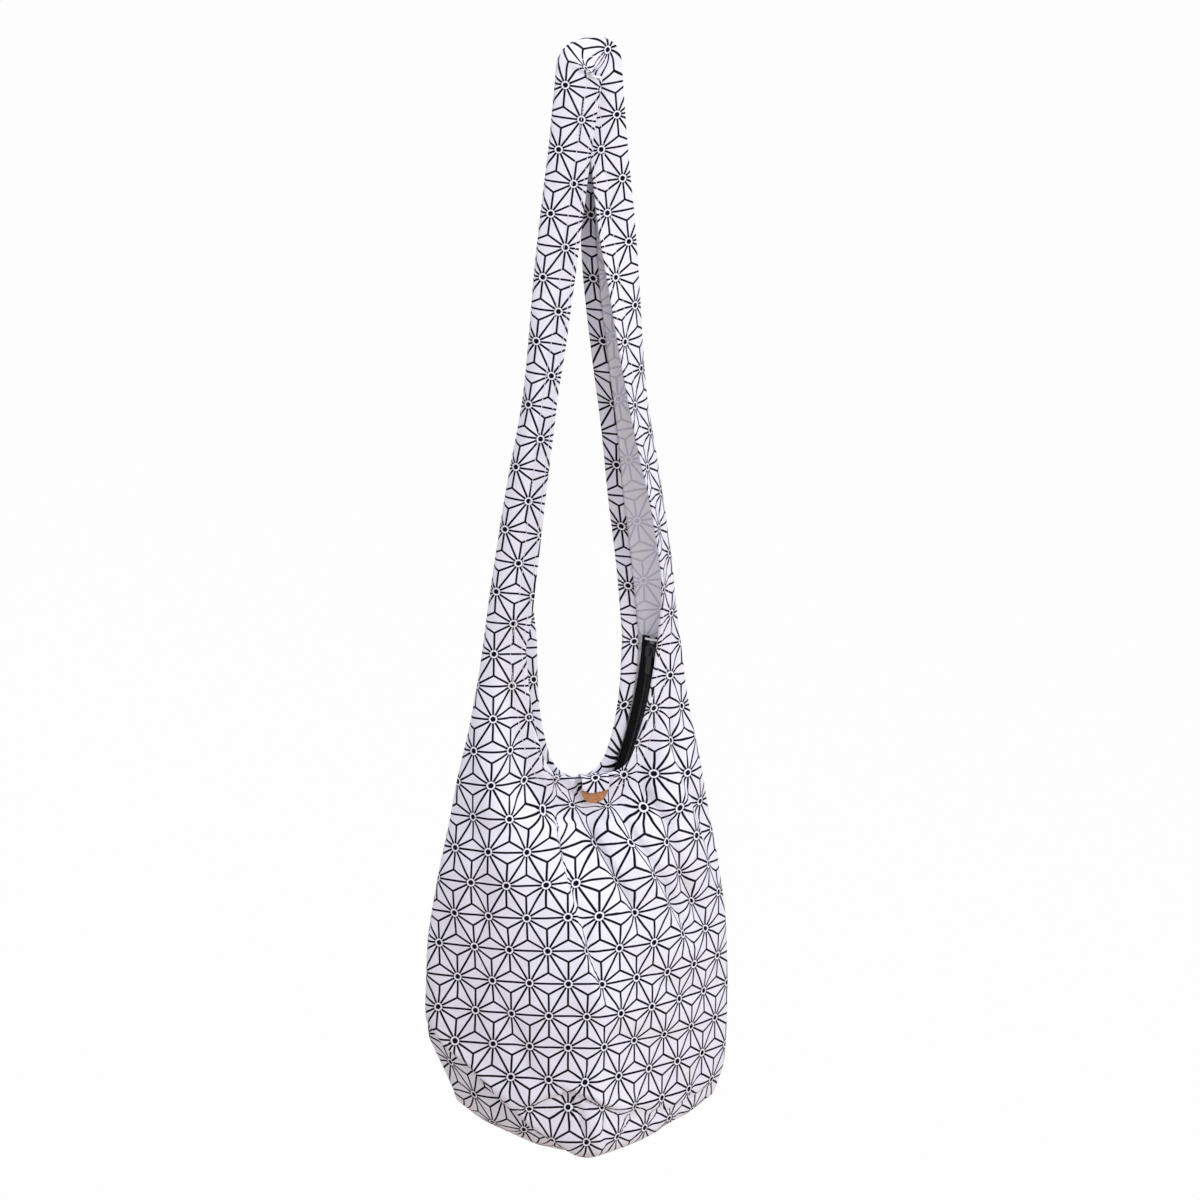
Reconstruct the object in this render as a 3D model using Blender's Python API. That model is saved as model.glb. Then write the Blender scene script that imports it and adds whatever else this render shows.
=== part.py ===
"""A cotton shoulder bag with a wide channel strap, a zipped mouth and a front pocket with a button.

The bag hangs from its strap loop. X runs from strap to strap, the front faces -Y, Z is up, and the
origin is where the loop bears on what it hangs from. Each printed panel is one grid of cloth: rows
run from the side fold inwards, to the centre line below the mouth and to the mouth edge above it.
"""

import math

import bmesh
import bpy
import numpy as np

MM = 0.001

# Cloth and clearances, mm
CLOTH = 1.5
FACING = 1.0
POCKET = 1.0
GAP = 0.3
HALF_GAP = 0.15
FACING_GAP = 0.6
SEAM_FLAT = 2.4
WELD = 0.02
CLOTH_SHARP_DEG = 50.0
HARD_SHARP_DEG = 40.0

# Overall form, mm, with heights above the middle of the back mouth edge
LOOP_TOP = 672.0
MOUTH_TOP = 126.0
STRAP_TOP = 640.0
LOOP_RISE = LOOP_TOP - STRAP_TOP
ORIGIN_Z = LOOP_TOP - CLOTH
BODY_DEPTH = 76.0
BACK_SHARE = 0.86
WALL_FOOT = -296.0
BASE_DROP = -341.0
FACING_WIDTH = 15.0
FACING_FADE = 60.0
FACING_SHARE = 0.32
FACING_START = {-1: 8.4, 1: 4.2}
FACING_SHORT = {-1: 0.62, 1: 0.5}

# Zip, mm and degrees
SIDE_RADIUS = 460.0
SIDE_TOP_DEG = 3.0
SIDE_FOOT_DEG = 19.0
ZIP_TOP_X = 65.6
ZIP_Y = -2.0
ZIP_TILT_DEG = 50.0
SEAM_HALF = 12.5
TAPE = 0.6
SEAM_ROOM = 0.9
TAPE_FLAT = 8.2
TAPE_REACH = 9.8
TAPE_EDGE = 1.1
TAPE_TURN = 0.12
TAPE_TUCK = 5.0
TAPE_TUCK_SHARE = 0.8
PARTING = 1.7
PARTING_START = 0.30
PARTING_RUN = 0.55
STATIONS_AT_SLIDER = (-6, -3, -1.5, 0, 1.5, 3, 6)
COIL_W = 3.0
COIL_T = 2.1
COIL_LIFT = 0.1
SLIDER_LENGTH = 11.0
SLIDER_WIDTH = 9.4
SLIDER_PLATE = 1.1
SLIDER_TAIL = 0.47
NOSE_SHARE = 0.65
POST_HALF = 0.75
POST_ALONG = (3.6, 5.2)
FLANGE_ALONG = (-4.8, -2.4)
BAIL_HALF = 0.7
BAIL_FRONT = (-3.2, -2.2)
BAIL_BACK = (1.2, 2.2)
BAIL_SINK = 0.4
BAIL_FOOT = 2.7
BAIL_CLEAR = 1.9
BAIL_TOP = 2.9
SLIDER_DEG = 4.6
TAB_LENGTH = 21.0
TAB_WIDTH = 5.2
TAB_T = 0.86
TAB_PIVOT_ALONG = 0.6
TAB_PIVOT_UP = 0.78
EYE_LENGTH = 3.9
EYE_HALF = 1.2
TACK_INSET = 2.4
TACK_THREAD = 0.9
TACK_PAST = 1.4
TACK_BEVEL = 0.2

# Button and pocket, mm
BUTTON_D = 24.0
BUTTON_T = 2.4
BUTTON_X = 9.0
BUTTON_Z = -9.0
BUTTON_Y = -16.6
BUTTON_TILT_DEG = 4.0
BUTTON_STEPS = 28
SHANK_RADIUS = 1.6
SHANK_SIDES = 8
SHANK_SINK = 0.5
TAB_STAND_OFF = 2.6
TAB_HALF = 12.0
POCKET_TOP = -62.0
POCKET_FOOT = -235.0
POCKET_BACK = 12.0

COLUMNS = 8
LIP_COLUMNS = 2
TURN_STEPS = 9
FOOT_STEPS = 5


def curve(*points):
    """A smooth curve through (position, value) points that doesn't overshoot them."""
    xs = np.array([p[0] for p in points], float)
    ys = np.array([p[1] for p in points], float)
    slopes = np.diff(ys) / np.diff(xs)
    tangents = np.zeros(len(xs))
    tangents[0], tangents[-1] = slopes[0], slopes[-1]
    for k in range(1, len(xs) - 1):
        if slopes[k - 1] * slopes[k] > 0:
            tangents[k] = 2 * slopes[k - 1] * slopes[k] / (slopes[k - 1] + slopes[k])

    def at(x):
        x = min(max(x, xs[0]), xs[-1])
        k = min(int(np.searchsorted(xs, x, side="right")) - 1, len(xs) - 2)
        h = xs[k + 1] - xs[k]
        t = (x - xs[k]) / h
        return (
            ys[k] * (1 + 2 * t) * (1 - t) ** 2
            + h * tangents[k] * t * (1 - t) ** 2
            + ys[k + 1] * t * t * (3 - 2 * t)
            + h * tangents[k + 1] * t * t * (t - 1)
        )

    return at


def smooth(x):
    x = min(max(x, 0.0), 1.0)
    return x * x * (3 - 2 * x)


# Half width of the bag and straps at each height; the left bottom corner hangs rounder
WIDTH = {
    1: curve((-306, 131), (-291, 138), (-265, 141), (-213, 142), (-157, 140), (-100, 133), (-28, 119),
             (5, 113), (58, 101), (126, 90.6), (200, 81), (280, 69), (354, 56), (472, 46.6), (583, 35),
             (STRAP_TOP, 30)),
    -1: curve((-291, 112), (-275, 126), (-256, 134), (-232, 138.5), (-200, 141), (-157, 140), (-100, 133),
              (-28, 119), (5, 113), (58, 101), (126, 90.6), (200, 81), (280, 69), (354, 56), (472, 46.6),
              (583, 35), (STRAP_TOP, 30)),
}
CORNER_Z = {1: -306.0, -1: -291.0}
WALL_FOOT_SIDE = {1: -286.0, -1: -236.0}
BASE = curve((-142, -270), (-112, -291), (-82, -314), (-48, -329), (-5, BASE_DROP), (35, -338),
             (77, -329), (112, -319), (142, -303))
FRONT_Y = curve((WALL_FOOT, BODY_DEPTH), (-230, BODY_DEPTH), (-170, 70), (-120, 57), (-80, 38), (-52, 20),
                (-38, 10.3))
PUFF = curve((WALL_FOOT, 6), (-200, 9), (-120, 14), (-70, 24), (-36, 27), (13, 15), (60, 7), (126, 2),
             (200, 2), (STRAP_TOP, 1))

# Free edges of the strap legs: X and Y at each height, front (-1) and back (1), for each strap
STRAP_EDGE = {
    (1, -1): (curve((126, 69.6), (165, 69), (244, 57), (319, 40), (389, 27), (454, 17), (510, 8.5),
                    (STRAP_TOP, -7)),
              curve((126, -14.2), (165, -23), (244, -30), (319, -28), (389, -23), (454, -14), (510, -6),
                    (STRAP_TOP, -4.6))),
    (-1, -1): (curve((126, -57), (165, -51), (244, -43), (319, -35), (354, -31), (389, -25),
                     (461, -14.5), (555, -3.5), (STRAP_TOP, 8)),
               curve((126, -14.2), (165, -18), (244, -18), (319, -19), (389, -16), (461, -12.5),
                     (555, -13), (STRAP_TOP, -14))),
    (1, 1): (curve((126, 41.3), (197, 34), (253, 26.5), (319, 19), (381, 10), (461, 0.5), (555, -5),
                   (STRAP_TOP, -8)),
             curve((126, 8), (253, 10), (381, 10), (461, 11), (555, 13), (STRAP_TOP, 14))),
    (-1, 1): (curve((126, -41.3), (165, -44), (244, -38), (319, -28), (354, -24), (389, -20),
                    (461, -11), (555, -1), (STRAP_TOP, 7)),
              curve((126, 8), (244, 18), (319, 20), (389, 17), (461, 8), (510, 5.5), (STRAP_TOP, 4.6))),
}
STRAP_ROWS = (126, 148, 172, 200, 230, 262, 296, 332, 368, 404, 440, 476, 510, 544, 578, 610, STRAP_TOP)
WALL_ROWS = (WALL_FOOT, -276, -250, -222, -192, -162, -134, -110, -88, -70, -55)

SIDE_CENTRE_X = ZIP_TOP_X - SIDE_RADIUS * math.cos(math.radians(SIDE_TOP_DEG))
SIDE_CENTRE_Z = MOUTH_TOP + SIDE_RADIUS * math.sin(math.radians(SIDE_TOP_DEG))
FOOT_X = SIDE_CENTRE_X + SIDE_RADIUS * math.cos(math.radians(SIDE_FOOT_DEG))
FOOT_Z = SIDE_CENTRE_Z - SIDE_RADIUS * math.sin(math.radians(SIDE_FOOT_DEG))
FOOT_RADIUS = FOOT_X / math.cos(math.radians(SIDE_FOOT_DEG))
FOOT_CENTRE_Z = FOOT_Z + FOOT_RADIUS * math.sin(math.radians(SIDE_FOOT_DEG))
FOOT_LENGTH = FOOT_RADIUS * math.radians(90 - SIDE_FOOT_DEG)
HALF_LENGTH = FOOT_LENGTH + SIDE_RADIUS * math.radians(SIDE_FOOT_DEG - SIDE_TOP_DEG)
SLIDER_PLACE = HALF_LENGTH - SIDE_RADIUS * math.radians(SLIDER_DEG - SIDE_TOP_DEG)
FOOT_ROWS = 6
SIDE_ROWS = 7
MOUTH_STEPS = tuple(FOOT_LENGTH * k / FOOT_ROWS for k in range(FOOT_ROWS)) + tuple(
    FOOT_LENGTH + (HALF_LENGTH - FOOT_LENGTH) * k / SIDE_ROWS for k in range(SIDE_ROWS))

# The mouth edge at each length along the zip from the middle of the mouth
MOUTH_EDGE = {
    (1, -1): (curve((0, 0), (18, 14), (36, 29), (54, 41), (80, 50), (110, 58), (140, 64),
                    (HALF_LENGTH, 69.6)),
              curve((0, 1), (18, 1.5), (36, 4), (54, 10), (80, 30), (110, 56), (140, 85),
                    (HALF_LENGTH, MOUTH_TOP))),
    (-1, -1): (curve((0, 0), (18, -13), (36, -25), (54, -34), (80, -42), (110, -48), (140, -53),
                     (HALF_LENGTH, -57)),
               curve((0, 1), (18, 1.5), (36, 5), (54, 13), (80, 32), (110, 57), (140, 85),
                     (HALF_LENGTH, MOUTH_TOP))),
}
for side in (1, -1):
    MOUTH_EDGE[side, 1] = (
        curve((0, 0), (18, 9 * side), (36, 18 * side), (54, 25 * side), (80, 32 * side), (110, 37 * side),
              (140, 40 * side), (HALF_LENGTH, 41.3 * side)),
        curve((0, -4), (18, -2.5), (36, 3), (54, 12), (80, 31), (110, 56), (140, 85),
              (HALF_LENGTH, MOUTH_TOP)),
    )
EDGE_Y = {-1: -14.2, 1: 8.0}


def zip_frame(length, side):
    """The middle of the zip at a length from its lowest point: place, outward and along directions."""
    if length <= FOOT_LENGTH:
        turn = length / FOOT_RADIUS
        out = np.array([side * math.sin(turn), 0.0, -math.cos(turn)])
        place = np.array([0.0, ZIP_Y, FOOT_CENTRE_Z]) + FOOT_RADIUS * out
    else:
        drop = math.radians(SIDE_FOOT_DEG) - (length - FOOT_LENGTH) / SIDE_RADIUS
        out = np.array([side * math.cos(drop), 0.0, -math.sin(drop)])
        place = np.array([side * SIDE_CENTRE_X, ZIP_Y, SIDE_CENTRE_Z]) + SIDE_RADIUS * out
    along = np.array([-out[2] * side, 0.0, out[0] * side])
    return place, out, along


def across_zip(out):
    tilt = math.radians(ZIP_TILT_DEG)
    return out * math.sin(tilt) - np.array([0.0, math.cos(tilt), 0.0])


def section(side, face, apex_z, inner, puff):
    """One row of cloth from the side fold to its inner end."""
    apex = np.array([side * WIDTH[side](apex_z), face * HALF_GAP, apex_z])
    start = apex + np.array([0.0, face * SEAM_FLAT, 0.0])
    chord = inner - start
    normal = np.array([abs(chord[1]) * side, face * abs(chord[0]), 0.0])
    normal /= max(np.linalg.norm(normal), 1e-9)
    row = [apex]
    for k in range(COLUMNS):
        t = k / (COLUMNS - 1)
        point = start + chord * t + normal * puff * 4 * t * (1 - t)
        row.append(point)
    return row


def lip(row, edge):
    """The row carried on past the seam to the free edge."""
    seam = row[-1]
    return row + [seam + (edge - seam) * (k + 1) / LIP_COLUMNS for k in range(LIP_COLUMNS)]


def mouth_row(length, side, face):
    place, out, _ = zip_frame(length, side)
    seam = place - across_zip(out) * SEAM_HALF * face
    edge_x, edge_z = MOUTH_EDGE[side, face]
    edge = np.array([edge_x(length), EDGE_Y[face], edge_z(length)])
    apex_z = -36 + (MOUTH_TOP + 36) * length / HALF_LENGTH
    return lip(section(side, face, apex_z, seam, PUFF(apex_z)), edge)


def strap_row(z, side, face):
    edge_x, edge_y = STRAP_EDGE[side, face]
    edge = np.array([edge_x(z), edge_y(z), z])
    apex = np.array([side * WIDTH[side](z), face * (HALF_GAP + SEAM_FLAT), z])
    span = apex - edge
    width = 7 + (FACING_WIDTH - 7) * smooth((z - MOUTH_TOP) / 60) if face < 0 else FACING_WIDTH
    seam = edge + span * width / np.linalg.norm(span)
    return lip(section(side, face, z, seam, PUFF(z)), edge)


def turn_row(turn, face):
    """A row over the top of the loop, turn 0 at the right strap to 180 at the left, in degrees."""
    c, s = math.cos(math.radians(turn)), math.sin(math.radians(turn))
    x = WIDTH[1](STRAP_TOP) * math.copysign(abs(c) ** 0.75, c)
    z = STRAP_TOP + LOOP_RISE * abs(s) ** 0.8 + 0.08 * x * s
    reach = math.hypot(x, z - STRAP_TOP)
    share = turn / 180
    y_right, y_left = STRAP_EDGE[1, face][1](STRAP_TOP), STRAP_EDGE[-1, face][1](STRAP_TOP)
    leg = 37.5 - 13.5 * smooth(1.6 * s)
    inward = np.array([-x / reach, 0.0, (STRAP_TOP - z) / reach])
    apex = np.array([x, face * HALF_GAP, z])
    start = apex + np.array([0.0, face * SEAM_FLAT, 0.0])
    end = start + inward * leg
    end[1] = y_right + (y_left - y_right) * smooth(share)
    seam = start + (end - start) * (1 - FACING_WIDTH / 38)
    row = [apex] + [start + (seam - start) * k / (COLUMNS - 1) for k in range(COLUMNS)]
    return lip(row, end)


def body_row(z, side, face):
    share = BACK_SHARE if face > 0 else 1.0
    blend = (z - WALL_FOOT) / (-36 - WALL_FOOT)
    apex_z = WALL_FOOT_SIDE[side] + (-36 - WALL_FOOT_SIDE[side]) * blend
    depth = FRONT_Y(z)
    if face > 0:
        depth = 10.3 + (FRONT_Y(z) * share - 10.3) * smooth((-38 - z) / 90)
        depth += -4.0 * (1 - smooth((-38 - z) / 60))
    lift = 18.0 * smooth((z + 88) / 50) if face > 0 else 0.0
    inner = np.array([0.0, face * depth, z + lift])
    row = section(side, face, apex_z, inner, PUFF(z) * share)
    for k, point in enumerate(row[1:], 1):
        t = (k - 1) / (COLUMNS - 1)
        point[2] = apex_z + (z + lift - apex_z) * (1 - (1 - t) ** 2)
    return row


def foot_rows(wall, side, face):
    """The rounded foot of the wall, carried under the bag to the seam along the base."""
    rows = []
    corner = WIDTH[side](CORNER_Z[side])
    top = abs(wall[0][0])
    for step in range(1, FOOT_STEPS + 1):
        swing = math.radians(90 * step / FOOT_STEPS)
        inward = 1 - math.cos(swing)
        down = math.sin(swing) ** 0.9
        row = []
        for k, point in enumerate(wall):
            x = point[0] * (1 + (corner / top - 1) * down)
            end_z = BASE(x)
            if k == 0:
                end_z = CORNER_Z[side]
            y = face * HALF_GAP + (point[1] - face * HALF_GAP) * (1 - inward ** 1.35)
            row.append(np.array([x, y, point[2] + (end_z - point[2]) * down]))
        rows.append(row)
    return rows


def dent(point, path, depth, width):
    """How far a crease along a path of (x, z) points draws the cloth in."""
    best = 1e9
    for (x1, z1), (x2, z2) in zip(path, path[1:]):
        run = np.array([x2 - x1, z2 - z1])
        t = np.clip(np.dot(np.array([point[0] - x1, point[2] - z1]), run) / run.dot(run), 0, 1)
        best = min(best, math.hypot(point[0] - x1 - run[0] * t, point[2] - z1 - run[1] * t))
    return depth * math.exp(-((best / width) ** 2))


# Each crease: its path of (x, height) points, its depth and its width
CREASE_TOP = -34.0
CREASE_FADE = 30.0
CREASES = (
    (((-33, -8), (-30, -45), (-24, -95), (-2, -155)), 7.0, 11.0),
    (((3, -26), (25, -62), (50, -112)), 5.0, 11.0),
    (((73, -50), (80, -85), (107, -130)), 5.0, 11.0),
)


def creased(row, face, lips):
    """The front's rows drawn in along the creases, all but the lip points."""
    if face > 0:
        return row
    for point in row[1 : len(row) - lips]:
        fade = smooth((CREASE_TOP - point[2]) / CREASE_FADE)
        point[1] += fade * sum(dent(point, *crease) for crease in CREASES)
    return row


def strip(face):
    """Rows round the whole mouth and strap: right side up, over the loop, left side down."""
    rows = [mouth_row(s, 1, face) for s in MOUTH_STEPS]
    rows += [strap_row(z, 1, face) for z in STRAP_ROWS]
    rows += [turn_row(180 * k / TURN_STEPS, face) for k in range(1, TURN_STEPS)]
    rows += [strap_row(z, -1, face) for z in reversed(STRAP_ROWS)]
    rows += [mouth_row(s, -1, face) for s in reversed(MOUTH_STEPS)]
    return rows


def body(side, face):
    """The rows of half a panel below the mouth, from the base seam up."""
    rows = [creased(body_row(z, side, face), face, 0) for z in WALL_ROWS]
    return foot_rows(rows[0], side, face)[::-1] + rows


def fabric(name, colour, roughness=0.85):
    material = bpy.data.materials.new(name)
    material.use_nodes = True
    shader = material.node_tree.nodes["Principled BSDF"]
    shader.inputs["Base Color"].default_value = (*colour, 1.0)
    shader.inputs["Roughness"].default_value = roughness
    return material


def add_mesh(name, grids, material, thickness, outward, seam_side=0):
    """Grids of points joined into one sheet and thickened; outward tells which way a face looks."""
    mesh = bpy.data.meshes.new(name)
    item = bpy.data.objects.new(name, mesh)
    bpy.context.collection.objects.link(item)
    bm = bmesh.new()
    for grid in grids:
        verts = [[bm.verts.new((p[0] * MM, p[1] * MM, (p[2] - ORIGIN_Z) * MM)) for p in row]
                 for row in grid]
        for low, high in zip(verts, verts[1:]):
            for k in range(len(low) - 1):
                bm.faces.new((low[k], low[k + 1], high[k + 1], high[k]))
    bmesh.ops.remove_doubles(bm, verts=bm.verts, dist=WELD * MM)
    bmesh.ops.recalc_face_normals(bm, faces=bm.faces)
    total = sum(f.normal.dot(outward(f.calc_center_median())) * f.calc_area() for f in bm.faces)
    if total < 0:
        bmesh.ops.reverse_faces(bm, faces=bm.faces)
    bmesh.ops.triangulate(bm, faces=bm.faces)
    thicken(bm, thickness * MM, seam_side)
    bm.to_mesh(mesh)
    bm.free()
    mesh.materials.append(material)
    mesh.shade_smooth()
    mesh.set_sharp_from_angle(angle=math.radians(CLOTH_SHARP_DEG))


def thicken(bm, thickness, seam_side):
    """Gives a sheet its thickness on its inner side; a panel's inner points stay on its side of the seams."""
    bm.normal_update()
    outer = list(bm.verts)
    faces = list(bm.faces)
    rim = [edge for edge in bm.edges if edge.is_boundary]
    loops = [(edge.link_loops[0].vert, edge.link_loops[0].link_loop_next.vert) for edge in rim]
    inner = {}
    for vert in outer:
        place = vert.co - vert.normal * thickness
        if seam_side:
            place.y = seam_side * max(place.y * seam_side, HALF_GAP * MM)
        inner[vert] = bm.verts.new(place)
    for face in faces:
        bm.faces.new([inner[v] for v in reversed(face.verts)])
    for a, b in loops:
        bm.faces.new((b, a, inner[a], inner[b]))


def normals_of(ring, face):
    """Unit normals at the points of a closed ring of rows, facing away from the bag."""
    grid = np.array(ring)
    around = np.roll(grid, -1, axis=0) - np.roll(grid, 1, axis=0)
    along = np.gradient(grid, axis=1)
    normal = np.cross(around, along)
    normal /= np.maximum(np.linalg.norm(normal, axis=2, keepdims=True), 1e-9)
    flip = np.sign(normal[:, :, 1:2].sum()) * face
    return normal * flip


def make_panel(name, face, material):
    """The body of a panel up to the ends of the zip, and its strap over the top of the loop."""
    around = [creased(row, face, LIP_COLUMNS) for row in strip(face)]
    steps = len(MOUTH_STEPS)
    grids = [around[: steps + 1], around[-steps - 1:]]
    for side, row in ((1, around[0]), (-1, around[-1])):
        grids.append(body(side, face) + [row[: COLUMNS + 1]])
    add_mesh(f"{name}_panel", grids, material, CLOTH, lambda c: (0, face, 0), face)
    foot = MOUTH_TOP + 2 * GAP
    strap = [strap_row(foot, 1, face)] + around[steps + 1: -steps - 1] + [strap_row(foot, -1, face)]
    add_mesh(f"{name}_strap", [strap], material, CLOTH, lambda c: (0, face, 0), face)
    return around


def lips_of(around):
    """The lips as a closed ring of rows, seam first."""
    return [row[-(LIP_COLUMNS + 1):] for row in around[:-1]]


def make_facing(name, face, around, material):
    """The strip sewn inside the mouth and both straps' edges; it leaves room for the tape under it."""
    ring = lips_of(around)
    normal = normals_of(ring, face)
    rows = []
    count = len(ring)
    reach = len(MOUTH_STEPS) + len(STRAP_ROWS) - 2
    for k in range(-reach, reach + 1):
        row, out = ring[k % count], normal[k % count]
        at_mouth = 1 - smooth((row[-1][2] - MOUTH_TOP) / FACING_FADE)
        lift = CLOTH + FACING_GAP + (SEAM_ROOM * 2 + TAPE - FACING_GAP) * at_mouth
        points = [p - n * lift for p, n in zip(row, out)]
        length = np.linalg.norm(row[-1] - row[0])
        start = min(FACING_SHORT[face] * length, max(FACING_START[face], FACING_SHARE * length)) * at_mouth
        points[0] = points[0] + (points[-1] - points[0]) * start / length
        points[1] = (points[0] + points[-1]) / 2
        rows.append(points)
    add_mesh(name, [rows], material, FACING, lambda c: (0, face, 0))


def opening(signed_length):
    """Half the distance between the two chains past the slider, where the zip is open."""
    past = signed_length - SLIDER_PLACE + SLIDER_LENGTH * PARTING_START
    return PARTING * smooth(past / (SLIDER_LENGTH * PARTING_RUN))


def chain_stations():
    """Places along the zip, close together at the slider."""
    lengths = [-s for s in reversed(MOUTH_STEPS[1:] + (HALF_LENGTH,))]
    near = STATIONS_AT_SLIDER[-1] + 1
    lengths += [s for s in MOUTH_STEPS if s < SLIDER_PLACE - near]
    lengths += [SLIDER_PLACE + d for d in STATIONS_AT_SLIDER]
    lengths += [s for s in MOUTH_STEPS + (HALF_LENGTH,) if s > SLIDER_PLACE + near]
    stations = []
    for signed in lengths:
        side = 1 if signed >= 0 else -1
        place, out, along = zip_frame(abs(signed), side)
        stations.append((signed, place, out, along if side > 0 else -along))
    return stations


def add_tube(name, loops, material):
    """A bar through closed loops of points, with flat ends."""
    mesh = bpy.data.meshes.new(name)
    item = bpy.data.objects.new(name, mesh)
    bpy.context.collection.objects.link(item)
    bm = bmesh.new()
    rings = [[bm.verts.new((p[0] * MM, p[1] * MM, (p[2] - ORIGIN_Z) * MM)) for p in loop] for loop in loops]
    count = len(rings[0])
    for a, b in zip(rings, rings[1:]):
        for k in range(count):
            bm.faces.new((a[k], a[(k + 1) % count], b[(k + 1) % count], b[k]))
    bm.faces.new(rings[0])
    bm.faces.new(rings[-1])
    bmesh.ops.recalc_face_normals(bm, faces=bm.faces)
    bm.to_mesh(mesh)
    bm.free()
    mesh.materials.append(material)
    mesh.shade_smooth()
    mesh.set_sharp_from_angle(angle=math.radians(HARD_SHARP_DEG))
    return item


def make_chains(material):
    """The two sides of the coil chain, as bars that part above the slider."""
    for name, face in (("zipper_coil_front", 1), ("zipper_coil_back", -1)):
        loops = []
        for signed, place, out, _ in chain_stations():
            w = across_zip(out)
            up = outer_normal(out)
            near = face * (HALF_GAP + opening(signed))
            far = near + face * COIL_W
            loops.append([place + w * a + up * b for a, b in
                          ((near, COIL_LIFT), (far, COIL_LIFT), (far, COIL_T), (near, COIL_T))])
        add_tube(name, loops, material)


def outer_normal(out):
    """The way the slider's top looks: into the hole between the straps and to the front."""
    tilt = math.radians(ZIP_TILT_DEG)
    return -out * math.cos(tilt) - np.array([0.0, math.sin(tilt), 0.0])


def make_tapes(material, panels):
    """Each tape lies flat under its chain; the back one then turns up between the panel and the facing."""
    for name, face, around in panels:
        ring = lips_of(around)
        normal = normals_of(ring, face)
        steps = len(MOUTH_STEPS)
        right = [(MOUTH_STEPS[k], 1, k) for k in range(steps)] + [(HALF_LENGTH, 1, steps)]
        count = len(ring)
        left = [(MOUTH_STEPS[k], -1, count - k) for k in range(1, steps)] + [(HALF_LENGTH, -1, count - steps)]
        rows = []
        for length, side, k in list(reversed(left)) + right:
            place, out, _ = zip_frame(length, side)
            w = across_zip(out) * -face
            up = outer_normal(out)
            reaches = (TAPE_EDGE + opening(length * side), TAPE_FLAT)
            points = [place + w * reach + up * -HALF_GAP for reach in reaches]
            if face > 0:
                seam, mid = ring[k % count][0], ring[k % count][1]
                turned = seam - normal[k % count][0] * (CLOTH + SEAM_ROOM + TAPE)
                rise = min(TAPE_TUCK_SHARE, TAPE_TUCK / np.linalg.norm(mid - seam))
                points += [turned + (points[1] - turned) * TAPE_TURN, turned + (mid - seam) * rise]
            else:
                points.append(place + w * TAPE_REACH + up * -HALF_GAP)
            rows.append(points)
        add_mesh(name, [rows], material, TAPE, lambda c: tuple(outer_normal(np.array([0, 0, -1.0]))))


def slider_frame():
    """The slider's place with its directions across, along and up."""
    place, out, along = zip_frame(SLIDER_PLACE, 1)
    return place, across_zip(out), along, outer_normal(out)


def add_block(name, corners, material, bevel=0.0):
    """A block from its eight corners, low face first."""
    mesh = bpy.data.meshes.new(name)
    item = bpy.data.objects.new(name, mesh)
    bpy.context.collection.objects.link(item)
    bm = bmesh.new()
    v = [bm.verts.new((p[0] * MM, p[1] * MM, (p[2] - ORIGIN_Z) * MM)) for p in corners]
    for face in ((0, 1, 2, 3), (4, 5, 6, 7), (0, 1, 5, 4), (1, 2, 6, 5), (2, 3, 7, 6), (3, 0, 4, 7)):
        bm.faces.new([v[k] for k in face])
    bmesh.ops.recalc_face_normals(bm, faces=bm.faces)
    if bevel:
        bmesh.ops.bevel(bm, geom=bm.edges[:], offset=bevel * MM, segments=1, affect="EDGES")
    bm.to_mesh(mesh)
    bm.free()
    mesh.materials.append(material)
    return item


def box_at(frame, a, b, c):
    """The corners of a box in the slider's frame: across, along and up ranges."""
    place, w, t, n = frame
    return [place + w * x + t * y + n * z for z in c for x, y in
            ((a[0], b[0]), (a[1], b[0]), (a[1], b[1]), (a[0], b[1]))]


def union(target, others):
    """Joins hidden blocks to the target."""
    for other in others:
        other.hide_render = True
        other.display_type = "WIRE"
        join = target.modifiers.new("join", "BOOLEAN")
        join.operation = "UNION"
        join.solver = "EXACT"
        join.object = other


def outline_plate(frame, low, high, material, name):
    """A plate of the slider: wide at its opening end, narrow where the chains leave closed."""
    half, tail, length = SLIDER_WIDTH / 2, SLIDER_WIDTH * SLIDER_TAIL, SLIDER_LENGTH / 2
    place, w, t, n = frame
    profile = []
    for k in range(9):
        turn = math.radians(180 * k / 8)
        profile.append((half * math.cos(turn), length * (1 - NOSE_SHARE + NOSE_SHARE * math.sin(turn))))
    profile += [(-tail, -length), (tail, -length)]
    loops = [[place + w * x + t * y + n * z for x, y in profile] for z in (low, high)]
    return add_tube(name, loops, material)


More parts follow.
